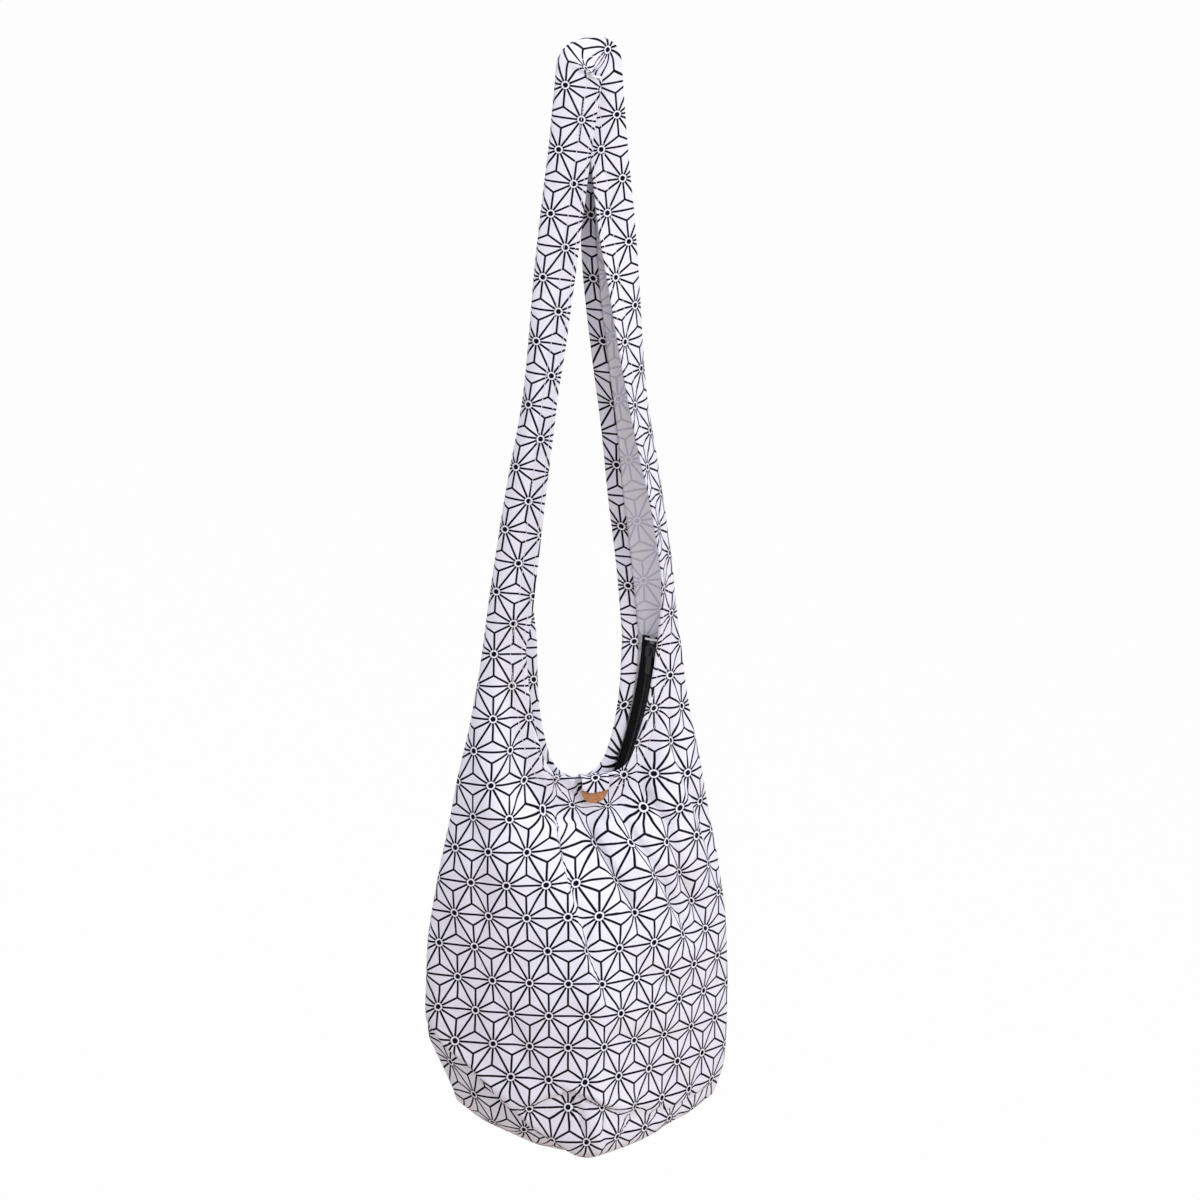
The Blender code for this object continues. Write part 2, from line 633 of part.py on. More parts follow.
def make_slider(material):
    """Two plates joined by the post between the chains, with edge flanges and the bail on top."""
    frame = slider_frame()
    low, high = -TAPE - HALF_GAP - GAP, COIL_T + GAP
    slider = outline_plate(frame, high, high + SLIDER_PLATE, material, "zipper_slider")
    under = outline_plate(frame, low - SLIDER_PLATE, low, material, "slider_under_plate")
    post = add_block("slider_post", box_at(frame, (-POST_HALF, POST_HALF), POST_ALONG,
                                           (low - SLIDER_PLATE / 2, high + SLIDER_PLATE / 2)), material)
    inner = COIL_W + HALF_GAP * 3
    outer = SLIDER_WIDTH * SLIDER_TAIL - GAP
    flanges = [
        add_block(f"slider_flange_{k}", box_at(frame, span, FLANGE_ALONG, (GAP, high + SLIDER_PLATE / 2)),
                  material)
        for k, span in enumerate(((inner, outer), (-outer, -inner)))
    ]
    top = high + SLIDER_PLATE
    feet = [
        add_block(f"slider_bail_{k}", box_at(frame, (-BAIL_HALF, BAIL_HALF), span,
                                             (top - BAIL_SINK, top + BAIL_FOOT)), material)
        for k, span in enumerate((BAIL_FRONT, BAIL_BACK))
    ]
    bail_span = (BAIL_FRONT[0], BAIL_BACK[1])
    bridge = add_block("slider_bail_top", box_at(frame, (-BAIL_HALF, BAIL_HALF), bail_span,
                                                 (top + BAIL_CLEAR, top + BAIL_TOP)), material)
    union(slider, [under, post] + flanges + feet + [bridge])
    return slider


def make_tab(material):
    """The pull tab: a flat bar with an eye, hanging down over the chain from the bail."""
    place, w, t, n = slider_frame()
    pivot = place - t * TAB_PIVOT_ALONG + n * (COIL_T + GAP + SLIDER_PLATE + TAB_PIVOT_UP)
    half, bar = TAB_WIDTH / 2, TAB_T / 2
    outline = [(half, bar)]
    for k in range(9):
        turn = math.radians(180 * k / 8)
        outline.append((half * math.cos(turn), -TAB_LENGTH + half * (1 - math.sin(turn))))
    outline.append((-half, bar))
    loops = [[pivot + w * x + t * y + n * z for x, y in outline] for z in (-bar, bar)]
    tab = add_tube("pull_tab", loops, material)
    hole = add_block("tab_eye", box_at((pivot, w, t, n), (-EYE_HALF, EYE_HALF), (-EYE_LENGTH, -bar), (-2, 2)),
                     material)
    hole.hide_render = True
    hole.display_type = "WIRE"
    cut = tab.modifiers.new("eye", "BOOLEAN")
    cut.operation = "DIFFERENCE"
    cut.solver = "EXACT"
    cut.object = hole
    return tab


def make_tacks(material):
    """Thread bars across the chains at the two ends of the zip."""
    length = HALF_LENGTH - TACK_INSET
    for name, side in (("zipper_tack_right", 1), ("zipper_tack_left", -1)):
        place, out, along = zip_frame(length, side)
        spread = opening(length * side)
        frame = (place, across_zip(out), along, outer_normal(out))
        reach = spread + COIL_W + TACK_PAST
        bottom = COIL_T + GAP
        add_block(name, box_at(frame, (-reach, reach), (-TACK_THREAD, TACK_THREAD),
                               (bottom, bottom + TACK_THREAD)), material, TACK_BEVEL)


def make_button(material, thread):
    """A turned shell button: domed face, flat back, standing off the cloth on its thread."""
    rim = BUTTON_D / 2
    profile = ((rim - 1.2, 0.0), (rim, 0.9), (rim - 0.4, 1.9), (rim - 2.2, BUTTON_T),
               (rim - 3.6, BUTTON_T - 0.5))
    tilt = math.radians(BUTTON_TILT_DEG)
    loops = []
    for radius, out in profile:
        ring = []
        for k in range(BUTTON_STEPS):
            turn = 2 * math.pi * k / BUTTON_STEPS
            u, v = radius * math.cos(turn), radius * math.sin(turn)
            ring.append(np.array([BUTTON_X + u, BUTTON_Y - out * math.cos(tilt) - v * math.sin(tilt),
                                  BUTTON_Z + v * math.cos(tilt) - out * math.sin(tilt)]))
        loops.append(ring)
    add_tube("button", loops, material)
    shank = []
    for depth in (BUTTON_Y + GAP, EDGE_Y[-1] + SHANK_SINK):
        ring = []
        for j in range(SHANK_SIDES):
            turn = 2 * math.pi * j / SHANK_SIDES
            ring.append(np.array([BUTTON_X + SHANK_RADIUS * math.cos(turn), depth,
                                  BUTTON_Z + SHANK_RADIUS * math.sin(turn)]))
        shank.append(ring)
    add_tube("button_shank", shank, thread)


def make_tab_loop(material):
    """The cloth tab sewn inside the mouth: it comes over the edge and down over half the button."""
    front = BUTTON_Y - BUTTON_T - TAB_STAND_OFF
    path = ((-4.0, -5.8), (1.5, -6.8), (4.6, -9.2), (5.2, -14.0), (5.2, -18.0), (3.8, front + 0.3),
            (-1.0, front), (-5.0, front), (BUTTON_Z, front + 0.2))
    rows = []
    for z, y in path:
        rows.append([np.array([BUTTON_X + TAB_HALF * u, y, z]) for u in (-1, -0.6, -0.2, 0.2, 0.6, 1)])
    add_mesh("button_tab", [rows], material, 1.0, lambda c: (0, -1, 0))


def make_pocket(material):
    """The inner wall of the front pocket, sewn behind the front panel."""
    rows = []
    for z in np.linspace(POCKET_FOOT, POCKET_TOP, 9):
        row = []
        for side in (-1, 1):
            cloth = creased(body_row(z, side, -1), -1, 0)
            points = [cloth[k] for k in range(3, COLUMNS + 1)]
            if side > 0:
                points = points[::-1][1:]
            row += points
        place = (z - POCKET_FOOT) / (POCKET_TOP - POCKET_FOOT)
        edge = min(1.0, 4 * place + 0.14)
        out = []
        for k, p in enumerate(row):
            across = abs(2 * k / (len(row) - 1) - 1)
            keep = edge * min(1.0, (1 - across) * 5 + 0.14)
            out.append(np.array([p[0], p[1] + CLOTH * 1.5 + GAP + (POCKET_BACK - 1.5) * keep, p[2]]))
        rows.append(out)
    add_mesh("pocket_panel", [rows], material, POCKET, lambda c: (0, -1, 0))


def main():
    for item in list(bpy.data.objects):
        bpy.data.objects.remove(item, do_unlink=True)
    cotton = fabric("printed cotton", (0.84, 0.83, 0.88))
    facing = fabric("facing cotton", (0.80, 0.79, 0.85))
    lining = fabric("pocket cotton", (0.78, 0.77, 0.80))
    nylon = fabric("black nylon", (0.02, 0.02, 0.025), 0.6)
    enamel = fabric("black enamel", (0.015, 0.015, 0.018), 0.3)
    shell = fabric("coconut shell", (0.45, 0.22, 0.09), 0.4)
    thread = fabric("white thread", (0.75, 0.74, 0.72), 0.9)
    front = make_panel("front", -1, cotton)
    back = make_panel("back", 1, cotton)
    make_facing("front_facing", -1, front, facing)
    make_facing("back_facing", 1, back, facing)
    make_tapes(nylon, (("zipper_tape_front", -1, front), ("zipper_tape_back", 1, back)))
    make_chains(nylon)
    make_slider(enamel)
    make_tab(enamel)
    make_tacks(thread)
    make_button(shell, thread)
    make_tab_loop(facing)
    make_pocket(lining)


main()
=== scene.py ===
"""The looks of a hanging cotton shoulder bag: printed cloth, zip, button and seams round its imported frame.

The cloth is laid out as grids of rows, in millimetres above the middle of the back mouth edge, and
moved into the frame in metres. Its UV map is the flat cloth in metres, which the star print reads.
"""

import math

import bmesh
import bpy
import numpy as np
from bpy.props import FloatProperty, FloatVectorProperty
from mathutils import Matrix, Vector, noise


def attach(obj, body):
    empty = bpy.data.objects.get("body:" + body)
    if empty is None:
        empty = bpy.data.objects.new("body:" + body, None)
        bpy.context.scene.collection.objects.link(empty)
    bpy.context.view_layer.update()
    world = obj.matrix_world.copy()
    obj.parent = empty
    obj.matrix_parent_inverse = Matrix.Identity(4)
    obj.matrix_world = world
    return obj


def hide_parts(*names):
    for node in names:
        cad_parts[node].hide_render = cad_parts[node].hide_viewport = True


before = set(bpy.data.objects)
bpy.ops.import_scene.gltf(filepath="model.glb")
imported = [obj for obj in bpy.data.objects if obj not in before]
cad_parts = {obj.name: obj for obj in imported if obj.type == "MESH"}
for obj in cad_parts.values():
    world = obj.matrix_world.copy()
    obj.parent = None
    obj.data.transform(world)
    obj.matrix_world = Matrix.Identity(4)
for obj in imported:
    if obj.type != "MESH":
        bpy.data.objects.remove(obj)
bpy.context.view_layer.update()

bl_info = {
    "name": "Cotton Shoulder Bag Looks",
    "version": (1, 0, 0),
    "blender": (4, 5, 0),
    "location": "View3D > Sidebar > Bag",
    "description": "Cloth, print, zip and button of a hanging cotton shoulder bag",
    "category": "Object",
}

MM = 0.001
FACES = (("front", -1), ("back", 1))

# Form of the bag, mm, as the frame has it: heights are above the middle of the back mouth edge. CLOTH
# is the frame's thickness of cloth and SHEET the one that's shown.
CLOTH = 1.5
SHEET = 0.9
GAP = 0.3
HALF_GAP = 0.15
SEAM_FLAT = 2.4
LOOP_TOP = 672.0
ORIGIN_Z = LOOP_TOP - CLOTH
MOUTH_TOP = 126.0
MOUTH_FOOT = -36.0
STRAP_TOP = 640.0
LOOP_RISE = LOOP_TOP - STRAP_TOP
BODY_DEPTH = 76.0
BACK_SHARE = 0.86
WALL_TOP = -48.0
WALL_FOOT = -296.0
BASE_DROP = -347.0
FACING_WIDTH = 15.0
FACING_AT_MOUTH = 7.0
MOUTH_FADE = 60.0
SIDE_RADIUS = 460.0
SIDE_TOP_DEG = 3.0
SIDE_FOOT_DEG = 19.0
ZIP_TOP_X = 65.6
ZIP_Y = -2.0
ZIP_TILT_DEG = 50.0
SEAM_HALF = 12.5

# The button with the rings that its face is turned in, as width and rise, and the cloth tab over it
BUTTON_D = 24.0
BUTTON_T = 2.4
BUTTON_X = 9.0
BUTTON_Z = -9.0
BUTTON_Y = -16.6
BUTTON_TILT_DEG = 4.0
BUTTON_BEVEL = 0.85
BUTTON_RINGS = ((1.6, 0), (0.9, -0.5), (4.0, -0.15))
TAB_HALF = 12.0
TAB_PAST = 0.6
TAB_OFF = 2.6
TAB_DROOP = 1.3
TAB_CORNERS = 1.2
TAB_WAVE = 0.45
TAB_RIPPLE = 0.5
TAB_DOWN_STAR = 8
TAB_SHEET = 1.0

# The zip: its tapes, the thread that its coils are wound from, and where they part above the slider
TAPE = 0.6
TAPE_REACH = 9.8
TAPE_EDGE = 1.1
COIL_T = 2.1
COIL_WIRE = 0.36
COIL_MIDDLE = 1.42
COIL_HALF = 1.30
COIL_LIFT = 0.1
COIL_FLAT = 0.55
COIL_END = 1.5
SLIDER_LENGTH = 11.0
SLIDER_DEG = 4.6
OPEN_HALF = 1.7
OPEN_FROM = 0.30
OPEN_WITHIN = 0.55

# The pocket's wall, nearest to the front along its foot and sides, where it's sewn
POCKET_TOP = -62.0
POCKET_FOOT = -235.0
POCKET_BACK = 12.0
POCKET_SEWN = 1.5
POCKET_BEHIND = CLOTH * 1.5 + GAP
POCKET_INSET = 3
POCKET_LEAST = 0.14
POCKET_FOOT_RATE = 4
POCKET_SIDE_RATE = 5

# The wall near the mouth: where its curve ends, and how the back's is tucked in and lifted there
FRONT_TOP = -38.0
FRONT_TOP_Y = 10.3
BACK_BLEND = 90.0
BACK_TUCK = 4.0
BACK_LIFT = 18.0
BACK_LIFT_FOOT = -88.0
BACK_LIFT_FADE = 50.0

# The turn over the loop and the foot under the walls, as powers of a circle's own run
LOOP_SQUARE = 0.75
LOOP_CROWN = 0.8
LOOP_SKEW = 0.08
LOOP_LEG = 37.5
LOOP_LEG_LESS = 9.5
LOOP_LEG_RATE = 1.6
LOOP_FACING_OF = 38
FOOT_INWARD = 1.7
FOOT_DOWN = 0.62

# The folded hem: radius of its turn on the strap and more at the mouth, its reach, and the share of the
# lip that it leaves free there
HEM_RADIUS = 1.15
HEM_RADIUS_MORE = 0.75
HEM_REACH = 13.0
HEM_FREE = {-1: 0.34, 1: 0.04}
HEM_LEVEL_Z = 520
STITCH_LINES = (2.2, 12.4)
STITCH_HALF = 0.34
STITCH_EDGE = 0.2
STITCH_SHARE = 0.38
STITCH_SOFT = 0.12

# The cloth's ground colour on its wrong side, paler than the printed face as painted light standing in for
# the light bounced into the straps' channels, and the places of the shell's shades on their ramp with how
# dark or light each is
WRONG_SIDE_PAINTED_PALER = (0.92, 0.91, 0.94)
SHELL_STOPS = ((0.30, 0.30), (0.46, 0.8), (0.56, 1.15), (0.72, 1.7))

# How finely the cloth is laid out
COLUMNS = 30
LIP_COLUMNS = 4
HEM_TURN = 3
HEM_BACK = 3
ROW_STEP = 4.2
MOUTH_STEP = 1.5 * ROW_STEP
STRAP_STEP = 9.0
TURN_STEPS = 24
FOOT_STEPS = 9
TAPE_STEPS = 96
TAPE_COLUMNS = 6
COIL_STEPS = 14
COIL_SIDES = 6
POCKET_ROWS = 25
TAB_COLUMNS = 13
FAR_FROM_EDGE = 100.0
WELD = 0.00003

# How strongly folds fade at their ends, turn over, reach out to the sides and draw the print together,
# where they keep clear of the zip and the seams, and the light rumple over all of the cloth, whose
# grains are turns to the metre across and up, and shifts across and into the cloth
FOLD_FADE = 4.4
FOLD_FADE_POWER = 0.6
FOLD_TURN = 0.45
FOLD_STEP_REACH = 4.5
FOLD_PULL_REACH = 26
ZIP_CLEAR = 14.0
ZIP_FADE = 14
ZIP_STATIONS = 121
CALM_LEAST = 0.4
SEAM_FADE = 6
SEAM_LEAST = 0.15
RUMPLE_GRAIN = (28, 17, 0, 7)
FINE_GRAIN = (75, 48, 3, 0)
RUMPLE = 1.7
RUMPLE_FINE = 0.5
RUMPLE_ON_STRAP = 0.5


def curve(*points):
    """A smooth curve through (position, value) points that doesn't overshoot them."""
    xs = np.array([p[0] for p in points], float)
    ys = np.array([p[1] for p in points], float)
    slopes = np.diff(ys) / np.diff(xs)
    tangents = np.zeros(len(xs))
    tangents[0], tangents[-1] = slopes[0], slopes[-1]
    for k in range(1, len(xs) - 1):
        if slopes[k - 1] * slopes[k] > 0:
            tangents[k] = 2 * slopes[k - 1] * slopes[k] / (slopes[k - 1] + slopes[k])

    def at(x):
        x = min(max(x, xs[0]), xs[-1])
        k = min(int(np.searchsorted(xs, x, side="right")) - 1, len(xs) - 2)
        h = xs[k + 1] - xs[k]
        t = (x - xs[k]) / h
        return (ys[k] * (1 + 2 * t) * (1 - t) ** 2 + h * tangents[k] * t * (1 - t) ** 2
                + ys[k + 1] * t * t * (3 - 2 * t) + h * tangents[k + 1] * t * t * (t - 1))

    return at


def smooth(x):
    """Eases from 0 to 1 as x does."""
    x = min(max(x, 0.0), 1.0)
    return x * x * (3 - 2 * x)


# The half width at each height, with the side seams' upper run, and the form of the walls and the base
SIDE_SEAM = ((-157, 140), (-100, 133), (-28, 119), (5, 113), (58, 101), (126, 90.6), (200, 81), (280, 69),
             (354, 56), (472, 46.6), (583, 35), (STRAP_TOP, 30))
WIDTH = {
    1: curve((-306, 131), (-291, 138), (-265, 141), (-213, 142), *SIDE_SEAM),
    -1: curve((-291, 112), (-275, 126), (-256, 134), (-232, 138.5), (-200, 141), *SIDE_SEAM),
}
CORNER_Z = {1: -306.0, -1: -291.0}
WALL_FOOT_SIDE = {1: -286.0, -1: -236.0}
BASE = curve((-142, -272), (-112, -297), (-82, -321), (-48, -337), (-5, BASE_DROP), (35, -343),
             (77, -332), (112, -320), (142, -303))
FRONT_Y = curve((WALL_FOOT, BODY_DEPTH), (-230, BODY_DEPTH), (-170, 70), (-120, 57), (-80, 38), (-52, 20),
                (FRONT_TOP, FRONT_TOP_Y))
PUFF = curve((WALL_FOOT, 6), (-200, 9), (-120, 14), (-70, 24), (-36, 27), (13, 15), (60, 7), (126, 2),
             (200, 2), (STRAP_TOP, 1))
# The free edge of each strap leg, by side and face: across and in depth at each height
STRAP_EDGE = {
    (1, -1): (curve((126, 69.6), (165, 69), (244, 57), (319, 40), (389, 27), (454, 17), (510, 8.5),
                    (STRAP_TOP, -7)),
              curve((126, -14.2), (165, -23), (244, -30), (319, -28), (389, -23), (454, -14), (510, -6),
                    (STRAP_TOP, -4.6))),
    (-1, -1): (curve((126, -57), (165, -51), (244, -43), (319, -35), (354, -31), (389, -25),
                     (461, -14.5), (555, -3.5), (STRAP_TOP, 8)),
               curve((126, -14.2), (165, -18), (244, -18), (319, -19), (389, -16), (461, -12.5),
                     (555, -13), (STRAP_TOP, -14))),
    (1, 1): (curve((126, 41.3), (197, 34), (253, 26.5), (319, 19), (381, 10), (461, 0.5), (555, -5),
                   (STRAP_TOP, -8)),
             curve((126, 8), (253, 10), (381, 10), (461, 11), (555, 13), (STRAP_TOP, 14))),
    (-1, 1): (curve((126, -41.3), (165, -44), (244, -38), (319, -28), (354, -24), (389, -20),
                    (461, -11), (555, -1), (STRAP_TOP, 7)),
              curve((126, 8), (244, 18), (319, 20), (389, 17), (461, 8), (510, 5.5), (STRAP_TOP, 4.6))),
}
# The zip's middle: a short arc round the mouth's foot and a long one up each side
SIDE_CENTRE_X = ZIP_TOP_X - SIDE_RADIUS * math.cos(math.radians(SIDE_TOP_DEG))
SIDE_CENTRE_Z = MOUTH_TOP + SIDE_RADIUS * math.sin(math.radians(SIDE_TOP_DEG))
FOOT_X = SIDE_CENTRE_X + SIDE_RADIUS * math.cos(math.radians(SIDE_FOOT_DEG))
FOOT_Z = SIDE_CENTRE_Z - SIDE_RADIUS * math.sin(math.radians(SIDE_FOOT_DEG))
FOOT_RADIUS = FOOT_X / math.cos(math.radians(SIDE_FOOT_DEG))
FOOT_CENTRE_Z = FOOT_Z + FOOT_RADIUS * math.sin(math.radians(SIDE_FOOT_DEG))
FOOT_LENGTH = FOOT_RADIUS * math.radians(90 - SIDE_FOOT_DEG)
HALF_LENGTH = FOOT_LENGTH + SIDE_RADIUS * math.radians(SIDE_FOOT_DEG - SIDE_TOP_DEG)
SLIDER_PLACE = HALF_LENGTH - SIDE_RADIUS * math.radians(SLIDER_DEG - SIDE_TOP_DEG)
# The mouth's free edge, by side and face: across and up at each length along the zip
MOUTH_EDGE = {
    (1, -1): (curve((0, 0), (18, 14), (36, 29), (54, 41), (80, 50), (110, 58), (140, 64),
                    (HALF_LENGTH, 69.6)),
              curve((0, 1), (18, 1.5), (36, 4), (54, 10), (80, 30), (110, 56), (140, 85),
                    (HALF_LENGTH, MOUTH_TOP))),
    (-1, -1): (curve((0, 0), (18, -13), (36, -25), (54, -34), (80, -42), (110, -48), (140, -53),
                     (HALF_LENGTH, -57)),
               curve((0, 1), (18, 1.5), (36, 5), (54, 13), (80, 32), (110, 57), (140, 85),
                     (HALF_LENGTH, MOUTH_TOP))),
}
BACK_EDGE = ((0, 0), (18, 9), (36, 18), (54, 25), (80, 32), (110, 37), (140, 40), (HALF_LENGTH, 41.3))
for side in (1, -1):
    MOUTH_EDGE[side, 1] = (curve(*((at, x * side) for at, x in BACK_EDGE)),
                           curve((0, -4), (18, -2.5), (36, 3), (54, 12), (80, 31), (110, 56), (140, 85),
                                 (HALF_LENGTH, MOUTH_TOP)))
EDGE_Y = {-1: -14.2, 1: 8.0}


def zip_frame(length, side):
    """The middle of the zip at a length from its lowest point: its place and its outward direction."""
    if length <= FOOT_LENGTH:
        turn = length / FOOT_RADIUS
        out = np.array([side * math.sin(turn), 0.0, -math.cos(turn)])
        place = np.array([0.0, ZIP_Y, FOOT_CENTRE_Z]) + FOOT_RADIUS * out
    else:
        drop = math.radians(SIDE_FOOT_DEG) - (length - FOOT_LENGTH) / SIDE_RADIUS
        out = np.array([side * math.cos(drop), 0.0, -math.sin(drop)])
        place = np.array([side * SIDE_CENTRE_X, ZIP_Y, SIDE_CENTRE_Z]) + SIDE_RADIUS * out
    return place, out


def across_zip(out):
    """The way over the zip, from its back side to its front side."""
    tilt = math.radians(ZIP_TILT_DEG)
    return out * math.sin(tilt) - np.array([0.0, math.cos(tilt), 0.0])


def outer_normal(out):
    """The way the slider's top looks: into the hole between the straps and to the front."""
    tilt = math.radians(ZIP_TILT_DEG)
    return -out * math.cos(tilt) - np.array([0.0, math.sin(tilt), 0.0])


def section(side, face, apex_z, inner, puff):
    """One row of cloth from the side seam to its inner end."""
    apex = np.array([side * WIDTH[side](apex_z), face * HALF_GAP, apex_z])
    start = apex + np.array([0.0, face * SEAM_FLAT, 0.0])
    chord = inner - start
    normal = np.array([abs(chord[1]) * side, face * abs(chord[0]), 0.0])
    normal /= max(np.linalg.norm(normal), 1e-9)
    row = [apex]
    for k in range(COLUMNS):
        t = k / (COLUMNS - 1)
        row.append(start + chord * t + normal * puff * 4 * t * (1 - t))
    return row


def lip(row, edge):
    """The row carried on past the zip's seam to the free edge."""
    seam = row[-1]
    return row + [seam + (edge - seam) * (k + 1) / LIP_COLUMNS for k in range(LIP_COLUMNS)]


def seam_height(length):
    """The height on the side seam that the mouth's row at a length along the zip starts from."""
    return MOUTH_FOOT + (MOUTH_TOP - MOUTH_FOOT) * length / HALF_LENGTH


def mouth_row(length, side, face):
    """A row from the side seam over the zip's seam to the mouth's free edge."""
    place, out = zip_frame(length, side)
    seam = place - across_zip(out) * SEAM_HALF * face
    edge_x, edge_z = MOUTH_EDGE[side, face]
    edge = np.array([edge_x(length), EDGE_Y[face], edge_z(length)])
    apex_z = seam_height(length)
    return lip(section(side, face, apex_z, seam, PUFF(apex_z)), edge)


def strap_row(z, side, face):
    """A level row of a strap leg, from its outer fold to its free edge."""
    edge_x, edge_y = STRAP_EDGE[side, face]
    edge = np.array([edge_x(z), edge_y(z), z])
    apex = np.array([side * WIDTH[side](z), face * (HALF_GAP + SEAM_FLAT), z])
    span = apex - edge
    width = FACING_WIDTH
    if face < 0:
        width = FACING_AT_MOUTH + (FACING_WIDTH - FACING_AT_MOUTH) * smooth((z - MOUTH_TOP) / MOUTH_FADE)
    seam = edge + span * width / np.linalg.norm(span)
    return lip(section(side, face, z, seam, PUFF(z)), edge)


def turn_row(turn, face):
    """A row over the top of the loop, turn 0 at the right strap to 180 at the left, in degrees."""
    c, s = math.cos(math.radians(turn)), math.sin(math.radians(turn))
    x = WIDTH[1](STRAP_TOP) * math.copysign(abs(c) ** LOOP_SQUARE, c)
    z = STRAP_TOP + LOOP_RISE * abs(s) ** LOOP_CROWN + LOOP_SKEW * x * s
    reach = math.hypot(x, z - STRAP_TOP)
    y_right, y_left = STRAP_EDGE[1, face][1](STRAP_TOP), STRAP_EDGE[-1, face][1](STRAP_TOP)
    leg = LOOP_LEG - LOOP_LEG_LESS * smooth(LOOP_LEG_RATE * s)
    inward = np.array([-x / reach, 0.0, (STRAP_TOP - z) / reach])
    apex = np.array([x, face * HALF_GAP, z])
    start = apex + np.array([0.0, face * SEAM_FLAT, 0.0])
    end = start + inward * leg
    end[1] = y_right + (y_left - y_right) * smooth(turn / 180)
    seam = start + (end - start) * (1 - FACING_WIDTH / LOOP_FACING_OF)
    row = [apex] + [start + (seam - start) * k / (COLUMNS - 1) for k in range(COLUMNS)]
    return lip(row, end)


def body_row(z, side, face):
    """A row of the wall, from the side seam to the middle of the panel."""
    share = BACK_SHARE if face > 0 else 1.0
    blend = (z - WALL_FOOT) / (MOUTH_FOOT - WALL_FOOT)
    apex_z = WALL_FOOT_SIDE[side] + (MOUTH_FOOT - WALL_FOOT_SIDE[side]) * blend
    depth, lift = FRONT_Y(z), 0.0
    if face > 0:
        under = FRONT_TOP - z
        depth = FRONT_TOP_Y + (FRONT_Y(z) * share - FRONT_TOP_Y) * smooth(under / BACK_BLEND)
        depth -= BACK_TUCK * (1 - smooth(under / MOUTH_FADE))
        lift = BACK_LIFT * smooth((z - BACK_LIFT_FOOT) / BACK_LIFT_FADE)
    inner = np.array([0.0, face * depth, z + lift])
    row = section(side, face, apex_z, inner, PUFF(z) * share)
    for k, point in enumerate(row[1:], 1):
        t = (k - 1) / (COLUMNS - 1)
        point[2] = apex_z + (z + lift - apex_z) * (1 - (1 - t) ** 2)
    return row


def foot_rows(wall, side, face):
    """The rounded foot of the wall, carried under the bag to the seam along the base."""
    rows = []
    corner = WIDTH[side](CORNER_Z[side])
    top = abs(wall[0][0])
    for step in range(1, FOOT_STEPS + 1):
        swing = math.radians(90 * step / FOOT_STEPS)
        inward = (1 - math.cos(swing)) ** FOOT_INWARD
        down = math.sin(swing) ** FOOT_DOWN
        row = []
        for k, point in enumerate(wall):
            x = point[0] * (1 + (corner / top - 1) * down)
            end_z = BASE(x) if k else CORNER_Z[side]
            y = face * HALF_GAP + (point[1] - face * HALF_GAP) * (1 - inward)
            row.append(np.array([x, y, point[2] + (end_z - point[2]) * down]))
        rows.append(row)
    return rows


# The star print, mm: a lattice of triangles with lines from every corner to the middles of its triangles
STAR = 34.0
ROW = STAR * math.sqrt(3) / 2
STAR_U = -11.0
STAR_V = -203.5
PRINT_SOFT = 0.22
PRINT_WOBBLE = 0.35
RAY_PAST = 0.4
STRAP_LEAN = 0.12
LEAN_FADE = 90
LIP_TURN_Z = 60
LIP_TURN_FADE = 80
LOOP_HALF = 36.0
PRINT_STEP = 2.0


def row_arc(row):
    """How far each point of a row lies from its first one, measured level."""
    return np.cumsum([0.0] + [math.hypot(b[0] - a[0], b[1] - a[1]) for a, b in zip(row, row[1:])])


def run_of(row):
    """How far each point of a row lies from its first one, measured along the row."""
    return np.concatenate([[0], np.cumsum([np.linalg.norm(b - a) for a, b in zip(row, row[1:])])])


